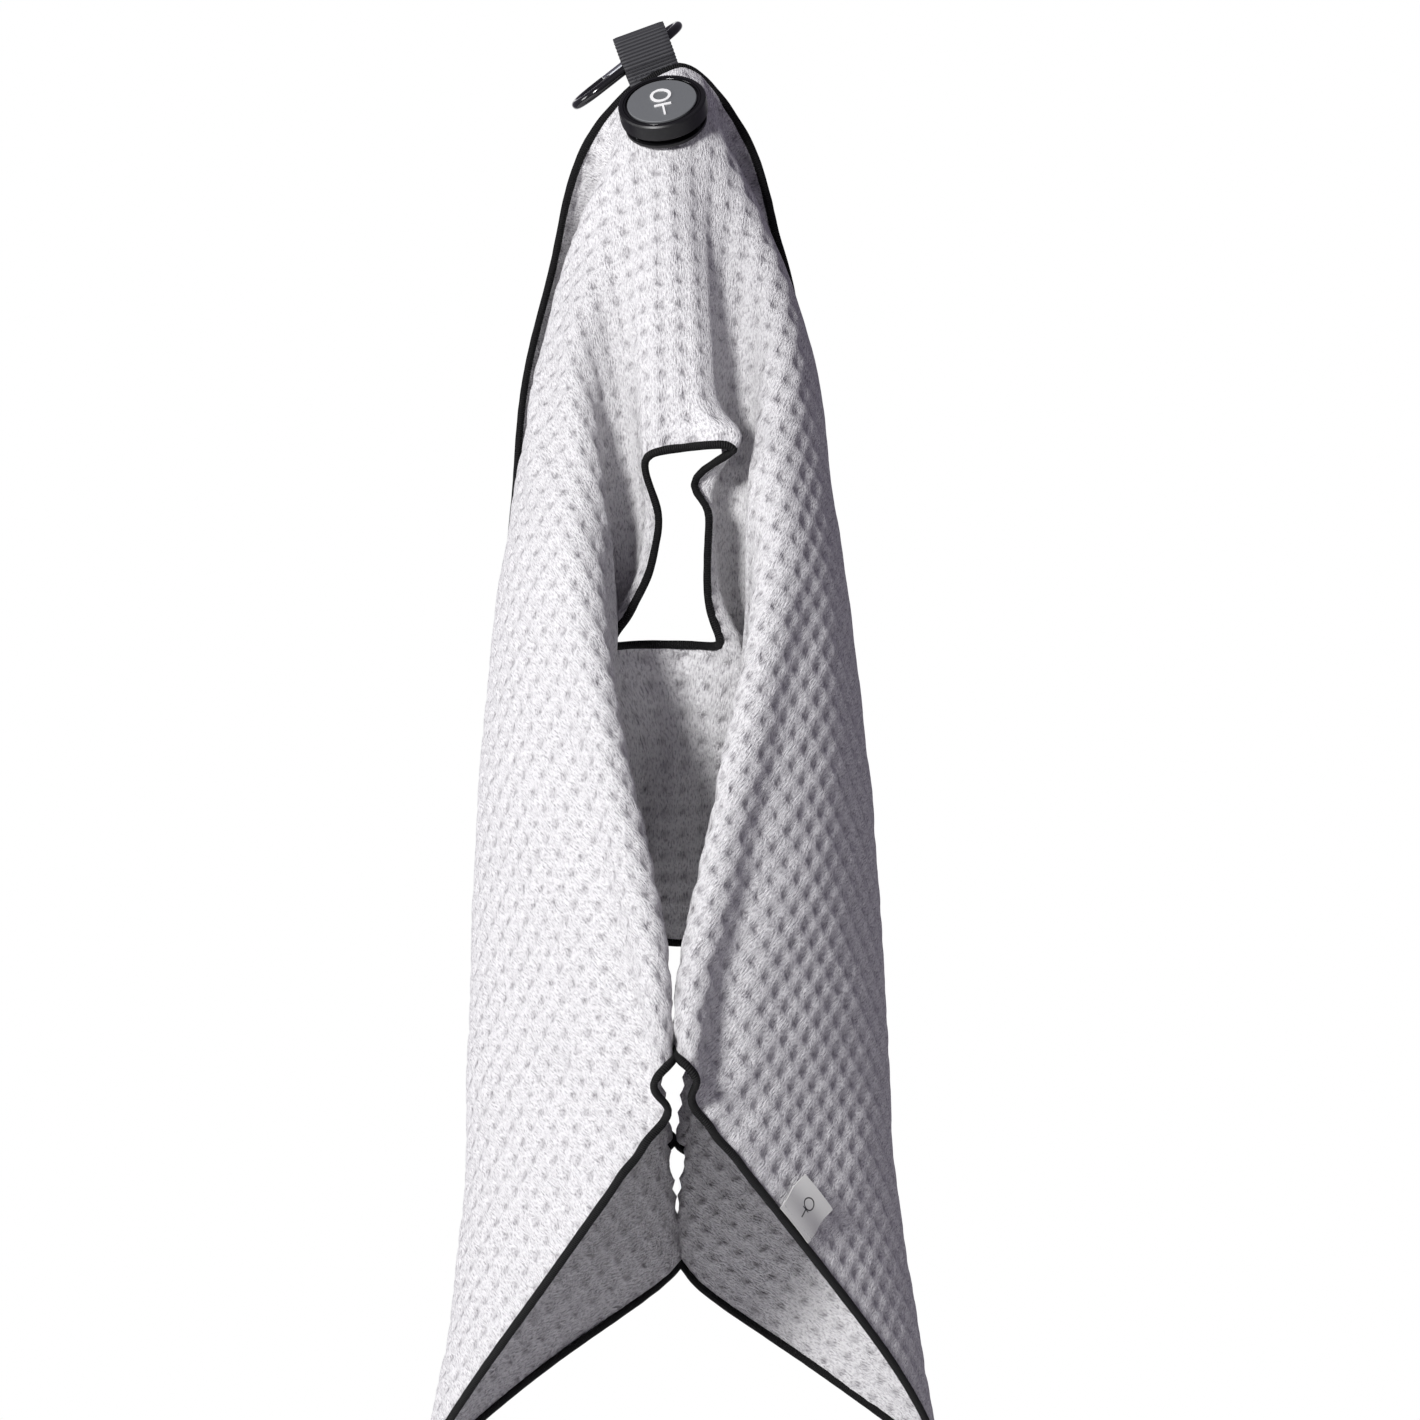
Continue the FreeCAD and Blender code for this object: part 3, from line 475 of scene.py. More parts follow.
def bind_edge(name, ring):
    """A cord of overlocked yarn along one edge of the cloth."""
    place, normal, length = even_points(ring, YARN_PITCH)
    count = len(place)
    run = np.roll(place, -2, axis=0) - np.roll(place, 2, axis=0)
    run /= np.linalg.norm(run, axis=1)[:, None]
    outward = np.cross(run, normal)
    outward /= np.linalg.norm(outward, axis=1)[:, None]
    normal = np.cross(outward, run)
    turns = np.arange(HEM_SIDES) * 2 * math.pi / HEM_SIDES
    swell = np.array([1 + HEM_UNEVEN * noise.noise(Vector(p) * 160) for p in place])
    rings = place[:, None] - outward[:, None] * HEM_INSET
    rings = rings + outward[:, None] * (np.cos(turns)[:, None] * HEM_WIDE) * swell[:, None, None]
    rings = rings + normal[:, None] * (np.sin(turns)[:, None] * HEM_THICK) * swell[:, None, None]
    faces = []
    for n in range(count):
        for k in range(HEM_SIDES):
            m = (n + 1) % count
            j = (k + 1) % HEM_SIDES
            here = n * HEM_SIDES
            there = m * HEM_SIDES
            faces.append((here + k, here + j, there + j, there + k))
    mesh = bpy.data.meshes.new(name)
    mesh.from_pydata(rings.reshape(-1, 3).tolist(), [], faces)
    wrap = mesh.uv_layers.new(name="wrap")
    for face in mesh.polygons:
        for spot, number in zip(face.loop_indices, face.vertices):
            ring_number, side = divmod(number, HEM_SIDES)
            if ring_number == 0 and face.index >= (count - 1) * HEM_SIDES:
                ring_number = count
            if side == 0 and face.index % HEM_SIDES == HEM_SIDES - 1:
                side = HEM_SIDES
            wrap.data[spot].uv = (ring_number * length / count, side / HEM_SIDES)
    made = bpy.data.objects.new(name, mesh)
    bpy.context.scene.collection.objects.link(made)
    bpy.ops.object.select_all(action="DESELECT")
    made.select_set(True)
    bpy.context.view_layer.objects.active = made
    bpy.ops.object.shade_smooth()
    return made


outer_hem = bind_edge("outer_hem_visual", outer_ring)
slot_hem = bind_edge("slot_hem_visual", slot_ring)

# Overlock yarn: textured polyester wound round the edge about every millimetre, slanting a
# little.
binding, binding_face = new_material("overlocked polyester yarn")
wrap_place = add(binding, "ShaderNodeUVMap", uv_map="wrap")
slant = add(binding, "ShaderNodeMapping", [(wrap_place, "UV", "Vector")],
            Scale=(1 / YARN_PITCH, 1.0, 1.0))
split = add(binding, "ShaderNodeSeparateXYZ", [(slant, "Vector", "Vector")])
turns = add(binding, "ShaderNodeMath", [(split, "X", 0), (split, "Y", 1)], operation="ADD")
phase = add(binding, "ShaderNodeMath", [(turns, 0, 0)], operation="MULTIPLY")
phase.inputs[1].default_value = 2 * math.pi
ridge = add(binding, "ShaderNodeMath", [(phase, 0, 0)], operation="SINE")
fuzz = add(binding, "ShaderNodeTexNoise", [(slant, "Vector", "Vector")], Scale=2.2, Detail=2)
relief = add(binding, "ShaderNodeMath", [(ridge, 0, 0), (fuzz, "Fac", 1)], operation="ADD")
wound = add(binding, "ShaderNodeBump", [(relief, 0, "Height")], Strength=0.8, Distance=0.0004)
join(binding, wound, "Normal", binding_face, "Normal")
# Painted shade and highlight: the yarn is darker in the grooves between wraps and lighter on their
# crests.
painted_crest_light = add(binding, "ShaderNodeMapRange", [(ridge, 0, "Value")],
             **{"From_Min": -0.6, "From_Max": 1.0, "To_Min": 0.0, "To_Max": 1.0})
yarn_tone_with_painted_crest_light = add(binding, "ShaderNodeMix", [(painted_crest_light, 0, "Factor")], data_type="RGBA")
yarn_tone_with_painted_crest_light.inputs[6].default_value = colour("#030303")
yarn_tone_with_painted_crest_light.inputs[7].default_value = colour("#161617")
join(binding, yarn_tone_with_painted_crest_light, 2, binding_face, "Base Color")
binding_face.inputs["Roughness"].default_value = 0.7
binding_face.inputs["Specular IOR Level"].default_value = 0.3
for hem, node in ((outer_hem, "outer_hem"), (slot_hem, "slot_hem")):
    hem.data.materials.append(binding)
    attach(hem, "towel")
    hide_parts(node)

# ---------------------------------------------------------------------------------------------
# Side label
# A satin ribbon tag, folded over and caught in the long hem, lying back over the front of the
# cloth. One face carries a small printed ball-on-tee mark.

LABEL_WIDE = 0.025
LABEL_DROP = 0.0208
LABEL_AT = 0.368
LABEL_LIFT = 0.0030
LABEL_CURL = 0.0030
LABEL_BOW = 0.0022
LABEL_ROOT = 0.0012
LABEL_THICK = 0.0006
LABEL_STITCH = (0.0019, 0.0006, 0.0005)
LABEL_STITCHES = 9
LABEL_STITCH_STEP = 0.0028


def cloth_near(across, down):
    """The smooth cloth's place nearest to a point of the flat cloth."""
    return smooth_place[((cut[:, 0] - across) ** 2 + (cut[:, 1] + down) ** 2).argmin()]


label_root = cloth_near(LABEL_AT, TOWEL_WIDE)
label_along = cloth_near(LABEL_AT + 0.013, TOWEL_WIDE) - cloth_near(LABEL_AT - 0.013, TOWEL_WIDE)
label_along /= np.linalg.norm(label_along)
label_in = cloth_near(LABEL_AT, TOWEL_WIDE - 0.024) - label_root
label_in -= label_along * (label_in @ label_along)
label_in /= np.linalg.norm(label_in)
label_front = np.cross(label_along, label_in)
label_front *= -np.sign(label_front[1])

bpy.ops.object.select_all(action="DESELECT")
bpy.ops.mesh.primitive_grid_add(x_subdivisions=20, y_subdivisions=18, size=1)
side_label = bpy.context.object
side_label.name = "side_label_visual"
tag = side_label.data
tag_flat = read_points(tag) + [0.5, 0.5, 0]
bowed = (tag_flat[:, 0] - 0.5) ** 2 * LABEL_BOW
curled = LABEL_CURL * tag_flat[:, 1] ** 2 + 0.0006 * np.sin(tag_flat[:, 1] * 7)
tag_place = label_root + label_along * ((tag_flat[:, 0] - 0.5) * LABEL_WIDE)[:, None]
tag_place += label_in * (LABEL_ROOT + tag_flat[:, 1] * LABEL_DROP)[:, None]
tag_place += label_front * (LABEL_LIFT + curled - bowed)[:, None]
tag.vertices.foreach_set("co", tag_place.ravel())
tag.update()
folded = side_label.modifiers.new("folded ribbon", "SOLIDIFY")
folded.thickness = LABEL_THICK
folded.offset = 0
bpy.ops.object.modifier_apply(modifier=folded.name)
bpy.ops.object.mode_set(mode="EDIT")
bpy.ops.mesh.select_all(action="SELECT")
bpy.ops.mesh.normals_make_consistent(inside=False)
bpy.ops.object.mode_set(mode="OBJECT")
bpy.ops.object.shade_smooth_by_angle(angle=math.radians(40))

# Polyester satin ribbon: long floats along the ribbon give a soft sheen and a fine rib across it,
# and the mark is screen printed in black ink, a ring for the ball over a tee.
RIBBON_THREAD = 0.00045
satin, satin_face = new_material("polyester satin ribbon")
ribbon_place = add(satin, "ShaderNodeUVMap", uv_map="UVMap")
ribbon_parts = add(satin, "ShaderNodeSeparateXYZ", [(ribbon_place, "UV", "Vector")])
ribbon_rib = add(satin, "ShaderNodeMath", [(ribbon_parts, "Y", 0)], operation="MULTIPLY")
ribbon_rib.inputs[1].default_value = 2 * math.pi * LABEL_DROP / RIBBON_THREAD
ribbon_wave = add(satin, "ShaderNodeMath", [(ribbon_rib, 0, 0)], operation="SINE")
ribbon_bump = add(satin, "ShaderNodeBump", [(ribbon_wave, 0, "Height")], Strength=0.35,
                  Distance=0.0001)
join(satin, ribbon_bump, "Normal", satin_face, "Normal")
ball_middle = add(satin, "ShaderNodeVectorMath", [(ribbon_place, "UV", 0)], operation="DISTANCE")
ball_middle.inputs[1].default_value = (0.5, 0.64, 0)
ball_line = add(satin, "ShaderNodeMath", [(ball_middle, "Value", 0)], operation="COMPARE")
ball_line.inputs[1].default_value = 0.13
ball_line.inputs[2].default_value = 0.014
tee_side = add(satin, "ShaderNodeMath", [(ribbon_parts, "X", 0)], operation="COMPARE")
tee_side.inputs[1].default_value = 0.5
tee_side.inputs[2].default_value = 0.014
tee_high = add(satin, "ShaderNodeMath", [(ribbon_parts, "Y", 0)], operation="COMPARE")
tee_high.inputs[1].default_value = 0.37
tee_high.inputs[2].default_value = 0.11
tee_stem = add(satin, "ShaderNodeMath", [(tee_side, 0, 0), (tee_high, 0, 1)], operation="MULTIPLY")
cap_side = add(satin, "ShaderNodeMath", [(ribbon_parts, "X", 0)], operation="COMPARE")
cap_side.inputs[1].default_value = 0.5
cap_side.inputs[2].default_value = 0.09
cap_high = add(satin, "ShaderNodeMath", [(ribbon_parts, "Y", 0)], operation="COMPARE")
cap_high.inputs[1].default_value = 0.485
cap_high.inputs[2].default_value = 0.014
tee_cap = add(satin, "ShaderNodeMath", [(cap_side, 0, 0), (cap_high, 0, 1)], operation="MULTIPLY")
tee = add(satin, "ShaderNodeMath", [(tee_stem, 0, 0), (tee_cap, 0, 1)], operation="MAXIMUM")
ink = add(satin, "ShaderNodeMath", [(tee, 0, 0), (ball_line, 0, 1)], operation="MAXIMUM")
satin_tone = add(satin, "ShaderNodeMix", [(ink, 0, "Factor")], data_type="RGBA")
satin_tone.inputs[6].default_value = colour("#d3d3d0")
satin_tone.inputs[7].default_value = colour("#1c1c1e")
join(satin, satin_tone, 2, satin_face, "Base Color")
satin_face.inputs["Roughness"].default_value = 0.42
satin_face.inputs["Sheen Weight"].default_value = 0.1
side_label.data.materials.append(satin)
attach(side_label, "towel")
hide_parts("side_label")


def stitch(name, size, turn, place):
    """One stitch: a short fat thread, drawn in at both ends where it goes through the cloth."""
    bpy.ops.object.select_all(action="DESELECT")
    bpy.ops.mesh.primitive_uv_sphere_add(segments=8, ring_count=6, radius=0.5)
    made = bpy.context.object
    made.name = name
    made.data.transform(Matrix.Translation(place) @ turn.to_4x4() @ Matrix.Diagonal((*size, 1)))
    bpy.ops.object.shade_smooth()
    return made


def joined(name, parts):
    """The parts made one piece."""
    bpy.ops.object.select_all(action="DESELECT")
    for part in parts:
        part.select_set(True)
    bpy.context.view_layer.objects.active = parts[0]
    bpy.ops.object.join()
    parts[0].name = name
    return parts[0]


def thread_material(name, code):
    """Polyester sewing thread: two twisted plies give each stitch a slanting ridge, dully shiny."""
    made, face = new_material(name)
    spot = add(made, "ShaderNodeTexCoord")
    twist = add(made, "ShaderNodeTexWave", [(spot, "Object", "Vector")], Scale=700,
                bands_direction="DIAGONAL", Distortion=0.6)
    ply = add(made, "ShaderNodeBump", [(twist, "Fac", "Height")], Strength=0.6, Distance=0.0001)
    join(made, ply, "Normal", face, "Normal")
    # Painted shade: the colour darkens to six tenths in the grooves between the twisted plies.
    painted_ply_shade = add(made, "ShaderNodeMix", [(twist, "Fac", "Factor")], data_type="RGBA")
    painted_ply_shade.inputs[6].default_value = [part * 0.6 for part in colour(code)[:3]] + [1.0]
    painted_ply_shade.inputs[7].default_value = colour(code)
    join(made, painted_ply_shade, 2, face, "Base Color")
    face.inputs["Roughness"].default_value = 0.5
    return made


tag_turn = Matrix((label_along, label_in, label_front)).transposed()
tag_stitches = []
for number in range(LABEL_STITCHES):
    spot = label_root + label_along * (-0.0112 + LABEL_STITCH_STEP * number) + label_in * 0.0034
    spot = spot + label_front * (LABEL_LIFT + 0.0004)
    tag_stitches.append(stitch("tag_stitch", LABEL_STITCH, tag_turn, Vector(spot)))
label_stitching = joined("label_stitching_visual", tag_stitches)
label_stitching.data.materials.append(thread_material("white polyester thread", "#d8d8d8"))
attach(label_stitching, "towel")
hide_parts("label_stitching")

# ---------------------------------------------------------------------------------------------
# Webbing loop
# A strip of 25 mm ribbed nylon webbing folded over, open to both sides for the snap hook, and
# sewn flat to the middle of the cloth's top edge.

WEB_WIDE = 0.0258
WEB_THICK = 0.0013
WEB_RIB = 0.00175
WEB_RISE = 0.0004
SELVEDGE = 0.0012
LOOP_STITCH = (0.0019, 0.0007, 0.0007)
LOOP_STITCH_STEP = 0.00272
LOOP_ROW_STEP = 0.0013
LOOP_TURN = Matrix.Rotation(math.radians(-20), 3, "Y") @ Matrix.Rotation(math.radians(-10), 3, "X")
# The middle of the strip, as places out from the fold's middle plane and up it, foot to top.
WEB_RUN = [(0.0012, -0.0030), (0.00125, 0.0005), (0.0013, 0.0045), (0.0030, 0.0072),
           (0.0050, 0.0098), (0.0055, 0.0150), (0.0055, 0.0210), (0.0042, 0.0246), (0.0016, 0.0260)]

web_route = [(-out, up) for out, up in WEB_RUN] + [(out, up) for out, up in reversed(WEB_RUN)]
web_route = np.array(web_route)
web_known = np.arange(len(web_route), dtype=float)
web_fine = np.linspace(0, len(web_route) - 1, 1200)
web_line = np.stack([smooth_curve(web_known, web_route[:, n], web_fine) for n in range(2)], -1)
web_gone = np.concatenate([[0], np.cumsum(np.linalg.norm(np.diff(web_line, axis=0), axis=1))])
web_long = web_gone[-1]
web_rows = int(web_long / WEB_RIB * 8)
bpy.ops.object.select_all(action="DESELECT")
bpy.ops.mesh.primitive_grid_add(x_subdivisions=16, y_subdivisions=web_rows, size=1)
webbing = bpy.context.object
webbing.name = "webbing_loop_visual"
web_flat = read_points(webbing.data)
web_side = web_flat[:, 0] * WEB_WIDE
web_at = (web_flat[:, 1] + 0.5) * web_long
web_out = np.interp(web_at, web_gone, web_line[:, 0])
web_up = np.interp(web_at, web_gone, web_line[:, 1])
web_step = np.gradient(web_line, web_gone, axis=0)
web_turn = np.stack([np.interp(web_at, web_gone, web_step[:, n]) for n in range(2)], -1)
web_turn /= np.linalg.norm(web_turn, axis=1)[:, None]
web_rib = np.abs(np.sin(math.pi * web_at / WEB_RIB)) ** 0.7 * WEB_RISE
web_rib *= 1 - np.clip((np.abs(web_side) - WEB_WIDE / 2 + SELVEDGE) / SELVEDGE, 0, 1) * 0.6
web_side += 0.00012 * np.sin(2 * math.pi * web_at / WEB_RIB) * np.sign(web_side) * (
    np.abs(web_side) > 0.0115)
web_out -= web_turn[:, 1] * web_rib
web_up += web_turn[:, 0] * web_rib
web_place = np.stack([web_side, web_out, web_up], -1)
web_place = np.array(EDGE_MIDDLE) + web_place @ np.array(LOOP_TURN).T
webbing.data.vertices.foreach_set("co", web_place.ravel())
webbing.data.update()
web_body = webbing.modifiers.new("webbing thickness", "SOLIDIFY")
web_body.thickness = WEB_THICK
web_body.offset = 0
bpy.ops.object.modifier_apply(modifier=web_body.name)
bpy.ops.object.mode_set(mode="EDIT")
bpy.ops.mesh.select_all(action="SELECT")
bpy.ops.mesh.normals_make_consistent(inside=False)
bpy.ops.object.mode_set(mode="OBJECT")
bpy.ops.object.shade_smooth_by_angle(angle=math.radians(50))

# Nylon webbing: filament yarn packed into ribs that run across the strip, really 1.2 mm apart and
# drawn coarser so that they show. The warp gives fine cross lines about 0.5 mm apart, and filament
# nylon has a low, silky shine.
WARP_PITCH = 0.0005
webbing_nylon, webbing_face = new_material("ribbed nylon webbing")
web_uv = add(webbing_nylon, "ShaderNodeUVMap", uv_map="UVMap")
web_parts = add(webbing_nylon, "ShaderNodeSeparateXYZ", [(web_uv, "UV", "Vector")])
warp = add(webbing_nylon, "ShaderNodeMath", [(web_parts, "X", 0)], operation="MULTIPLY")
warp.inputs[1].default_value = 2 * math.pi * WEB_WIDE / WARP_PITCH
warp_wave = add(webbing_nylon, "ShaderNodeMath", [(warp, 0, 0)], operation="SINE")
weft = add(webbing_nylon, "ShaderNodeMath", [(web_parts, "Y", 0)], operation="MULTIPLY")
weft.inputs[1].default_value = 2 * math.pi * web_long / WEB_RIB
weft_wave = add(webbing_nylon, "ShaderNodeMath", [(weft, 0, 0)], operation="COSINE")
web_lie = add(webbing_nylon, "ShaderNodeMath", [(warp_wave, 0, 0)], operation="MULTIPLY")
web_lie.inputs[1].default_value = 0.15
web_relief = add(webbing_nylon, "ShaderNodeMath", [(web_lie, 0, 0), (weft_wave, 0, 1)],
                 operation="SUBTRACT")
web_bump = add(webbing_nylon, "ShaderNodeBump", [(web_relief, 0, "Height")], Strength=0.5,
               Distance=0.00012)
join(webbing_nylon, web_bump, "Normal", webbing_face, "Normal")
# Painted highlight and shade: each rib is lighter on its raised top and near black in the groove
# between ribs.
painted_rib_light = add(webbing_nylon, "ShaderNodeMapRange", [(weft_wave, 0, "Value")],
                **{"From_Min": 1.0, "From_Max": -0.4, "To_Min": 0.0, "To_Max": 1.0})
web_tone_with_painted_rib_light = add(webbing_nylon, "ShaderNodeMix", [(painted_rib_light, 0, "Factor")], data_type="RGBA")
web_tone_with_painted_rib_light.inputs[6].default_value = colour("#020202")
web_tone_with_painted_rib_light.inputs[7].default_value = colour("#323236")
join(webbing_nylon, web_tone_with_painted_rib_light, 2, webbing_face, "Base Color")
webbing_face.inputs["Roughness"].default_value = 0.55
webbing_face.inputs["Sheen Weight"].default_value = 0.1
webbing.data.materials.append(webbing_nylon)
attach(webbing, "towel")
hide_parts("webbing_loop")

loop_stitches = []
for row in range(2):
    for number in range(8):
        spot = Vector((-0.0095 + LOOP_STITCH_STEP * number, -0.0021, 0.0029 + LOOP_ROW_STEP * row))
        spot = EDGE_MIDDLE + LOOP_TURN @ spot
        loop_stitches.append(stitch("loop_stitch", LOOP_STITCH, LOOP_TURN, spot))
loop_stitching = joined("loop_stitching_visual", loop_stitches)
loop_stitching.data.materials.append(thread_material("black polyester thread", "#3a3a3e"))
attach(loop_stitching, "towel")
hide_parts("loop_stitching")

# ---------------------------------------------------------------------------------------------
# Puck shells
# Two moulded shells in front of the cloth and a round plate behind it, all moulded in black ABS
# with a satin spark finish and a fine parting line. Three screws pull them together.


def dress(material, *names):
    """Give CAD nodes a material."""
    for name in names:
        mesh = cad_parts[name].data
        mesh.materials.clear()
        mesh.materials.append(material)


# Spark-finished ABS: the mould leaves a fine even grain, so the plastic is satin, slightly
# mottled in its shine, and near black.
SPARK_GRAIN = 0.00035
abs_black, abs_face = new_material("spark finished black abs")
abs_place = add(abs_black, "ShaderNodeTexCoord")
abs_grain = add(abs_black, "ShaderNodeTexNoise", [(abs_place, "Object", "Vector")],
                Scale=1 / SPARK_GRAIN, Detail=2)
abs_bump = add(abs_black, "ShaderNodeBump", [(abs_grain, "Fac", "Height")], Strength=0.25,
               Distance=0.00005)
join(abs_black, abs_bump, "Normal", abs_face, "Normal")
abs_cloud = add(abs_black, "ShaderNodeTexNoise", [(abs_place, "Object", "Vector")], Scale=130,
                Detail=2)
abs_shine = add(abs_black, "ShaderNodeMapRange", [(abs_cloud, "Fac", "Value")],
                **{"To_Min": 0.34, "To_Max": 0.46})
join(abs_black, abs_shine, "Result", abs_face, "Roughness")
abs_tone = add(abs_black, "ShaderNodeMix", [(abs_cloud, "Fac", "Factor")], data_type="RGBA")
abs_tone.inputs[6].default_value = colour("#0c0c0d")
abs_tone.inputs[7].default_value = colour("#131315")
join(abs_black, abs_tone, 2, abs_face, "Base Color")
dress(abs_black, "puck_front_casing", "puck_base_shell", "puck_rear_casing")

# Zinc plated steel: a bright, faintly cloudy passivated coat over cold-drawn wire and turned
# parts.
zinc, zinc_face = new_material("zinc plated steel")
zinc_place = add(zinc, "ShaderNodeTexCoord")
zinc_cloud = add(zinc, "ShaderNodeTexNoise", [(zinc_place, "Object", "Vector")], Scale=900,
                 Detail=3)
zinc_shine = add(zinc, "ShaderNodeMapRange", [(zinc_cloud, "Fac", "Value")],
                 **{"To_Min": 0.2, "To_Max": 0.38})
join(zinc, zinc_shine, "Result", zinc_face, "Roughness")
zinc_tone = add(zinc, "ShaderNodeMix", [(zinc_cloud, "Fac", "Factor")], data_type="RGBA")
zinc_tone.inputs[6].default_value = colour("#b9bcc0")
zinc_tone.inputs[7].default_value = colour("#d4d6d8")
join(zinc, zinc_tone, 2, zinc_face, "Base Color")
zinc_face.inputs["Metallic"].default_value = 1.0
dress(zinc, "puck_clamp_screws")

# ---------------------------------------------------------------------------------------------
# Puck magnet
# A sintered neodymium disc, plated with nickel, glued in a pressed cup of zinc plated steel.

dress(zinc, "puck_pole_cup")

# Nickel plate: a warm mirror, slightly clouded, with faint handling marks.
nickel, nickel_face = new_material("nickel plated neodymium")
nickel_place = add(nickel, "ShaderNodeTexCoord")
nickel_mark = add(nickel, "ShaderNodeTexNoise", [(nickel_place, "Object", "Vector")], Scale=420,
                  Detail=3)
nickel_shine = add(nickel, "ShaderNodeMapRange", [(nickel_mark, "Fac", "Value")],
                   **{"To_Min": 0.12, "To_Max": 0.26})
join(nickel, nickel_shine, "Result", nickel_face, "Roughness")
nickel_tone = add(nickel, "ShaderNodeMix", [(nickel_mark, "Fac", "Factor")], data_type="RGBA")
nickel_tone.inputs[6].default_value = colour("#c9c6bf")
nickel_tone.inputs[7].default_value = colour("#dedbd4")
join(nickel, nickel_tone, 2, nickel_face, "Base Color")
nickel_face.inputs["Metallic"].default_value = 1.0
dress(nickel, "puck_magnet")

# ---------------------------------------------------------------------------------------------
# Puck badge
# A charcoal disc of soft PVC with a raised white mark, set in the front shell inside a gloss
# black trim ring.

RUBBER_GRAIN = 0.0005
charcoal, charcoal_face = new_material("matt charcoal pvc")
charcoal_place = add(charcoal, "ShaderNodeTexCoord")
charcoal_grain = add(charcoal, "ShaderNodeTexNoise", [(charcoal_place, "Object", "Vector")],
                     Scale=1 / RUBBER_GRAIN, Detail=2)
charcoal_bump = add(charcoal, "ShaderNodeBump", [(charcoal_grain, "Fac", "Height")], Strength=0.3,
                    Distance=0.00006)
join(charcoal, charcoal_bump, "Normal", charcoal_face, "Normal")
charcoal_tone = add(charcoal, "ShaderNodeMix", [(charcoal_grain, "Fac", "Factor")],
                    data_type="RGBA")
charcoal_tone.inputs[6].default_value = colour("#616365")
charcoal_tone.inputs[7].default_value = colour("#717375")
join(charcoal, charcoal_tone, 2, charcoal_face, "Base Color")
charcoal_face.inputs["Roughness"].default_value = 0.6
dress(charcoal, "puck_badge_disc")

# Gloss black ABS, polished in the mould: deep black with clear highlights and faint handling haze.
gloss, gloss_face = new_material("gloss black abs")
gloss_place = add(gloss, "ShaderNodeTexCoord")
gloss_haze = add(gloss, "ShaderNodeTexNoise", [(gloss_place, "Object", "Vector")], Scale=160,
                 Detail=2)
gloss_shine = add(gloss, "ShaderNodeMapRange", [(gloss_haze, "Fac", "Value")],
                  **{"To_Min": 0.1, "To_Max": 0.2})
join(gloss, gloss_shine, "Result", gloss_face, "Roughness")
gloss_face.inputs["Base Color"].default_value = colour("#060607")
dress(gloss, "puck_trim_ring")

# White PVC, poured into the mark and cured: slightly soft-edged, a warm white with a low sheen.
poured, poured_face = new_material("poured white pvc")
poured_place = add(poured, "ShaderNodeTexCoord")
poured_cloud = add(poured, "ShaderNodeTexNoise", [(poured_place, "Object", "Vector")], Scale=600,
                   Detail=2)
poured_tone = add(poured, "ShaderNodeMix", [(poured_cloud, "Fac", "Factor")], data_type="RGBA")
poured_tone.inputs[6].default_value = colour("#ececea")
poured_tone.inputs[7].default_value = colour("#fbfbfa")
join(poured, poured_tone, 2, poured_face, "Base Color")
poured_face.inputs["Roughness"].default_value = 0.45
dress(poured, "puck_motif")

# ---------------------------------------------------------------------------------------------
# Snap hook
# A bent steel-wire hook with a black lacquer, and a sprung satin aluminium gate that turns on a
# pin at the tail and closes over a pin at the nose.

# Black lacquer, dipped and baked on steel: glossy, with a slight orange peel.
lacquer, lacquer_face = new_material("black lacquered steel")
lacquer_place = add(lacquer, "ShaderNodeTexCoord")
lacquer_peel = add(lacquer, "ShaderNodeTexNoise", [(lacquer_place, "Object", "Vector")], Scale=500,
                   Detail=2)
lacquer_bump = add(lacquer, "ShaderNodeBump", [(lacquer_peel, "Fac", "Height")], Strength=0.15,
                   Distance=0.00008)
join(lacquer, lacquer_bump, "Normal", lacquer_face, "Normal")
lacquer_tone = add(lacquer, "ShaderNodeMix", [(lacquer_peel, "Fac", "Factor")], data_type="RGBA")
lacquer_tone.inputs[6].default_value = colour("#0a0a0b")
lacquer_tone.inputs[7].default_value = colour("#151517")
join(lacquer, lacquer_tone, 2, lacquer_face, "Base Color")
lacquer_face.inputs["Roughness"].default_value = 0.16
lacquer_face.inputs["Coat Weight"].default_value = 0.6
lacquer_face.inputs["Coat Roughness"].default_value = 0.06
dress(lacquer, "carabiner_body")

# Satin aluminium: extruded rod tumbled in grit, so it has a fine soft grain and broad highlights.
TUMBLE_GRAIN = 0.0003
tumbled, tumbled_face = new_material("tumbled aluminium")
tumbled_place = add(tumbled, "ShaderNodeTexCoord")
tumbled_grain = add(tumbled, "ShaderNodeTexNoise", [(tumbled_place, "Object", "Vector")],
                    Scale=1 / TUMBLE_GRAIN, Detail=3)
tumbled_bump = add(tumbled, "ShaderNodeBump", [(tumbled_grain, "Fac", "Height")], Strength=0.2,
                   Distance=0.00005)
join(tumbled, tumbled_bump, "Normal", tumbled_face, "Normal")
tumbled_tone = add(tumbled, "ShaderNodeMix", [(tumbled_grain, "Fac", "Factor")], data_type="RGBA")
tumbled_tone.inputs[6].default_value = colour("#a9acb0")
tumbled_tone.inputs[7].default_value = colour("#cdd0d3")
join(tumbled, tumbled_tone, 2, tumbled_face, "Base Color")
tumbled_face.inputs["Metallic"].default_value = 1.0
tumbled_face.inputs["Roughness"].default_value = 0.3
dress(tumbled, "carabiner_gate")
dress(zinc, "gate_hinge_pin", "gate_latch_pin", "gate_spring", "gate_plunger")

# ---------------------------------------------------------------------------------------------
# Stage, light and camera
# The towel hangs in front of white, above a pale floor, lit softly from the front left.

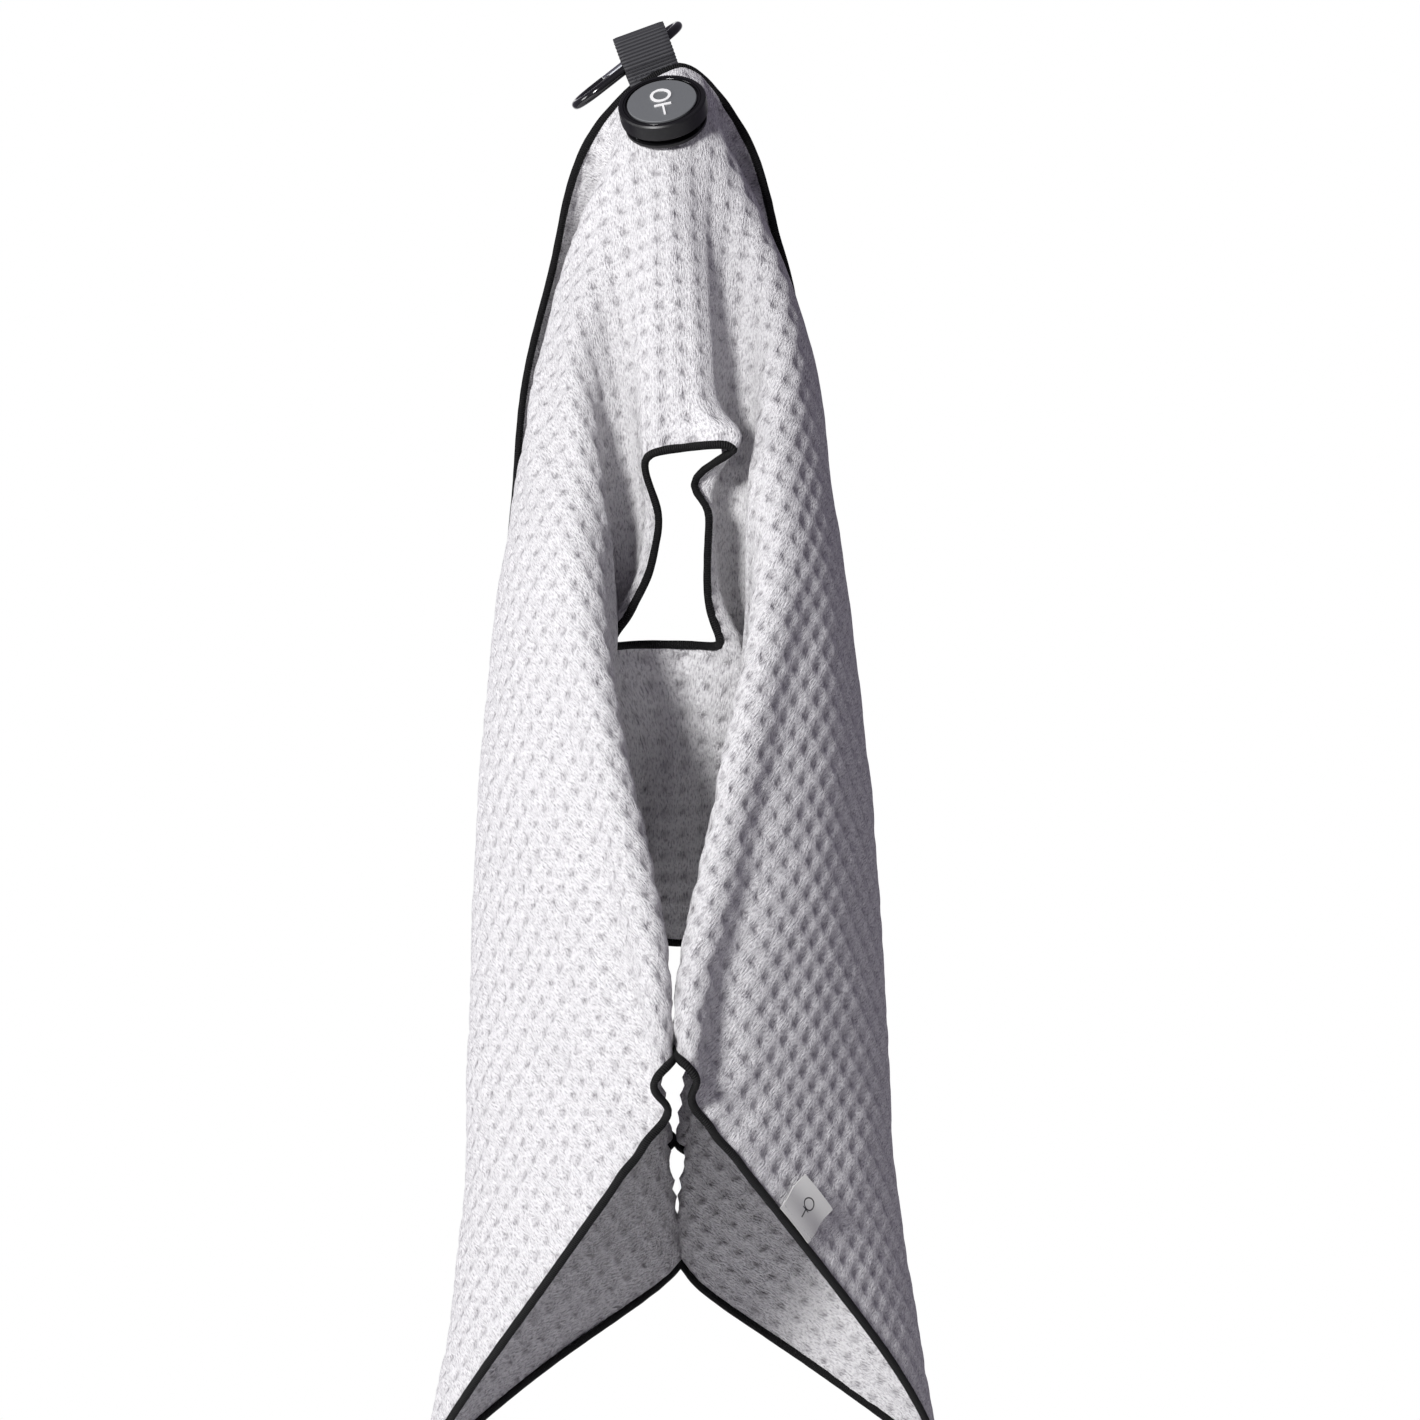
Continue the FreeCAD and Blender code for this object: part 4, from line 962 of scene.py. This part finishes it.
bpy.ops.mesh.primitive_cylinder_add(vertices=96, radius=1.35, depth=0.02, location=(0, 0, -0.93))
floor = bpy.context.object
floor.name = "pale_floor"
floor_paint, floor_face = new_material("matt white paint")
floor_face.inputs["Base Color"].default_value = colour("#f4f4f4")
floor.data.materials.append(floor_paint)

surround = bpy.data.worlds.new("studio surround")
surround.use_nodes = True
sky = surround.node_tree
looking = sky.nodes.new("ShaderNodeTexCoord")
split_sky = sky.nodes.new("ShaderNodeSeparateXYZ")
behind = sky.nodes.new("ShaderNodeMapRange")
behind.inputs["From Min"].default_value = 0.86
behind.inputs["From Max"].default_value = 0.95
sky_tone = sky.nodes.new("ShaderNodeMix")
sky_tone.data_type = "RGBA"
sky_tone.inputs[6].default_value = colour("#6c6774")
sky_tone.inputs[7].default_value = colour("#ffffff")
sky.links.new(looking.outputs["Generated"], split_sky.inputs["Vector"])
sky.links.new(split_sky.outputs["Y"], behind.inputs["Value"])
sky.links.new(behind.outputs["Result"], sky_tone.inputs[0])
sky.links.new(sky_tone.outputs[2], sky.nodes["Background"].inputs["Color"])
sky.nodes["Background"].inputs["Strength"].default_value = 1.0
bpy.context.scene.world = surround


def softbox(name, place, aim, wide, watts, tint):
    """A soft rectangular light that faces the towel."""
    light = bpy.data.lights.new(name, "AREA")
    light.size = wide
    light.energy = watts
    light.color = colour(tint)[:3]
    holder = bpy.data.objects.new(name, light)
    bpy.context.scene.collection.objects.link(holder)
    holder.location = place
    holder.rotation_euler = (Vector(aim) - Vector(place)).to_track_quat("-Z", "Y").to_euler()


softbox("key", (-1.15, -2.1, 0.45), (0, 0, -0.3), 0.5, 62, "#ffffff")
softbox("left_fill", (-2.2, -0.5, 0.1), (0, 0, -0.3), 0.8, 16, "#ffffff")

VIEW_WIDE = 0.689
VIEW_FAR = 2.0
camera_data = bpy.data.cameras.new("front_camera")
camera_data.sensor_width = 36
camera_data.lens = 36 * VIEW_FAR / VIEW_WIDE
camera = bpy.data.objects.new("front_camera", camera_data)
camera.location = (0.0211, -VIEW_FAR, -0.284)
camera.rotation_euler = (math.radians(90), 0, 0)
bpy.context.scene.collection.objects.link(camera)
bpy.context.scene.camera = camera
bpy.context.scene.view_settings.view_transform = "Standard"
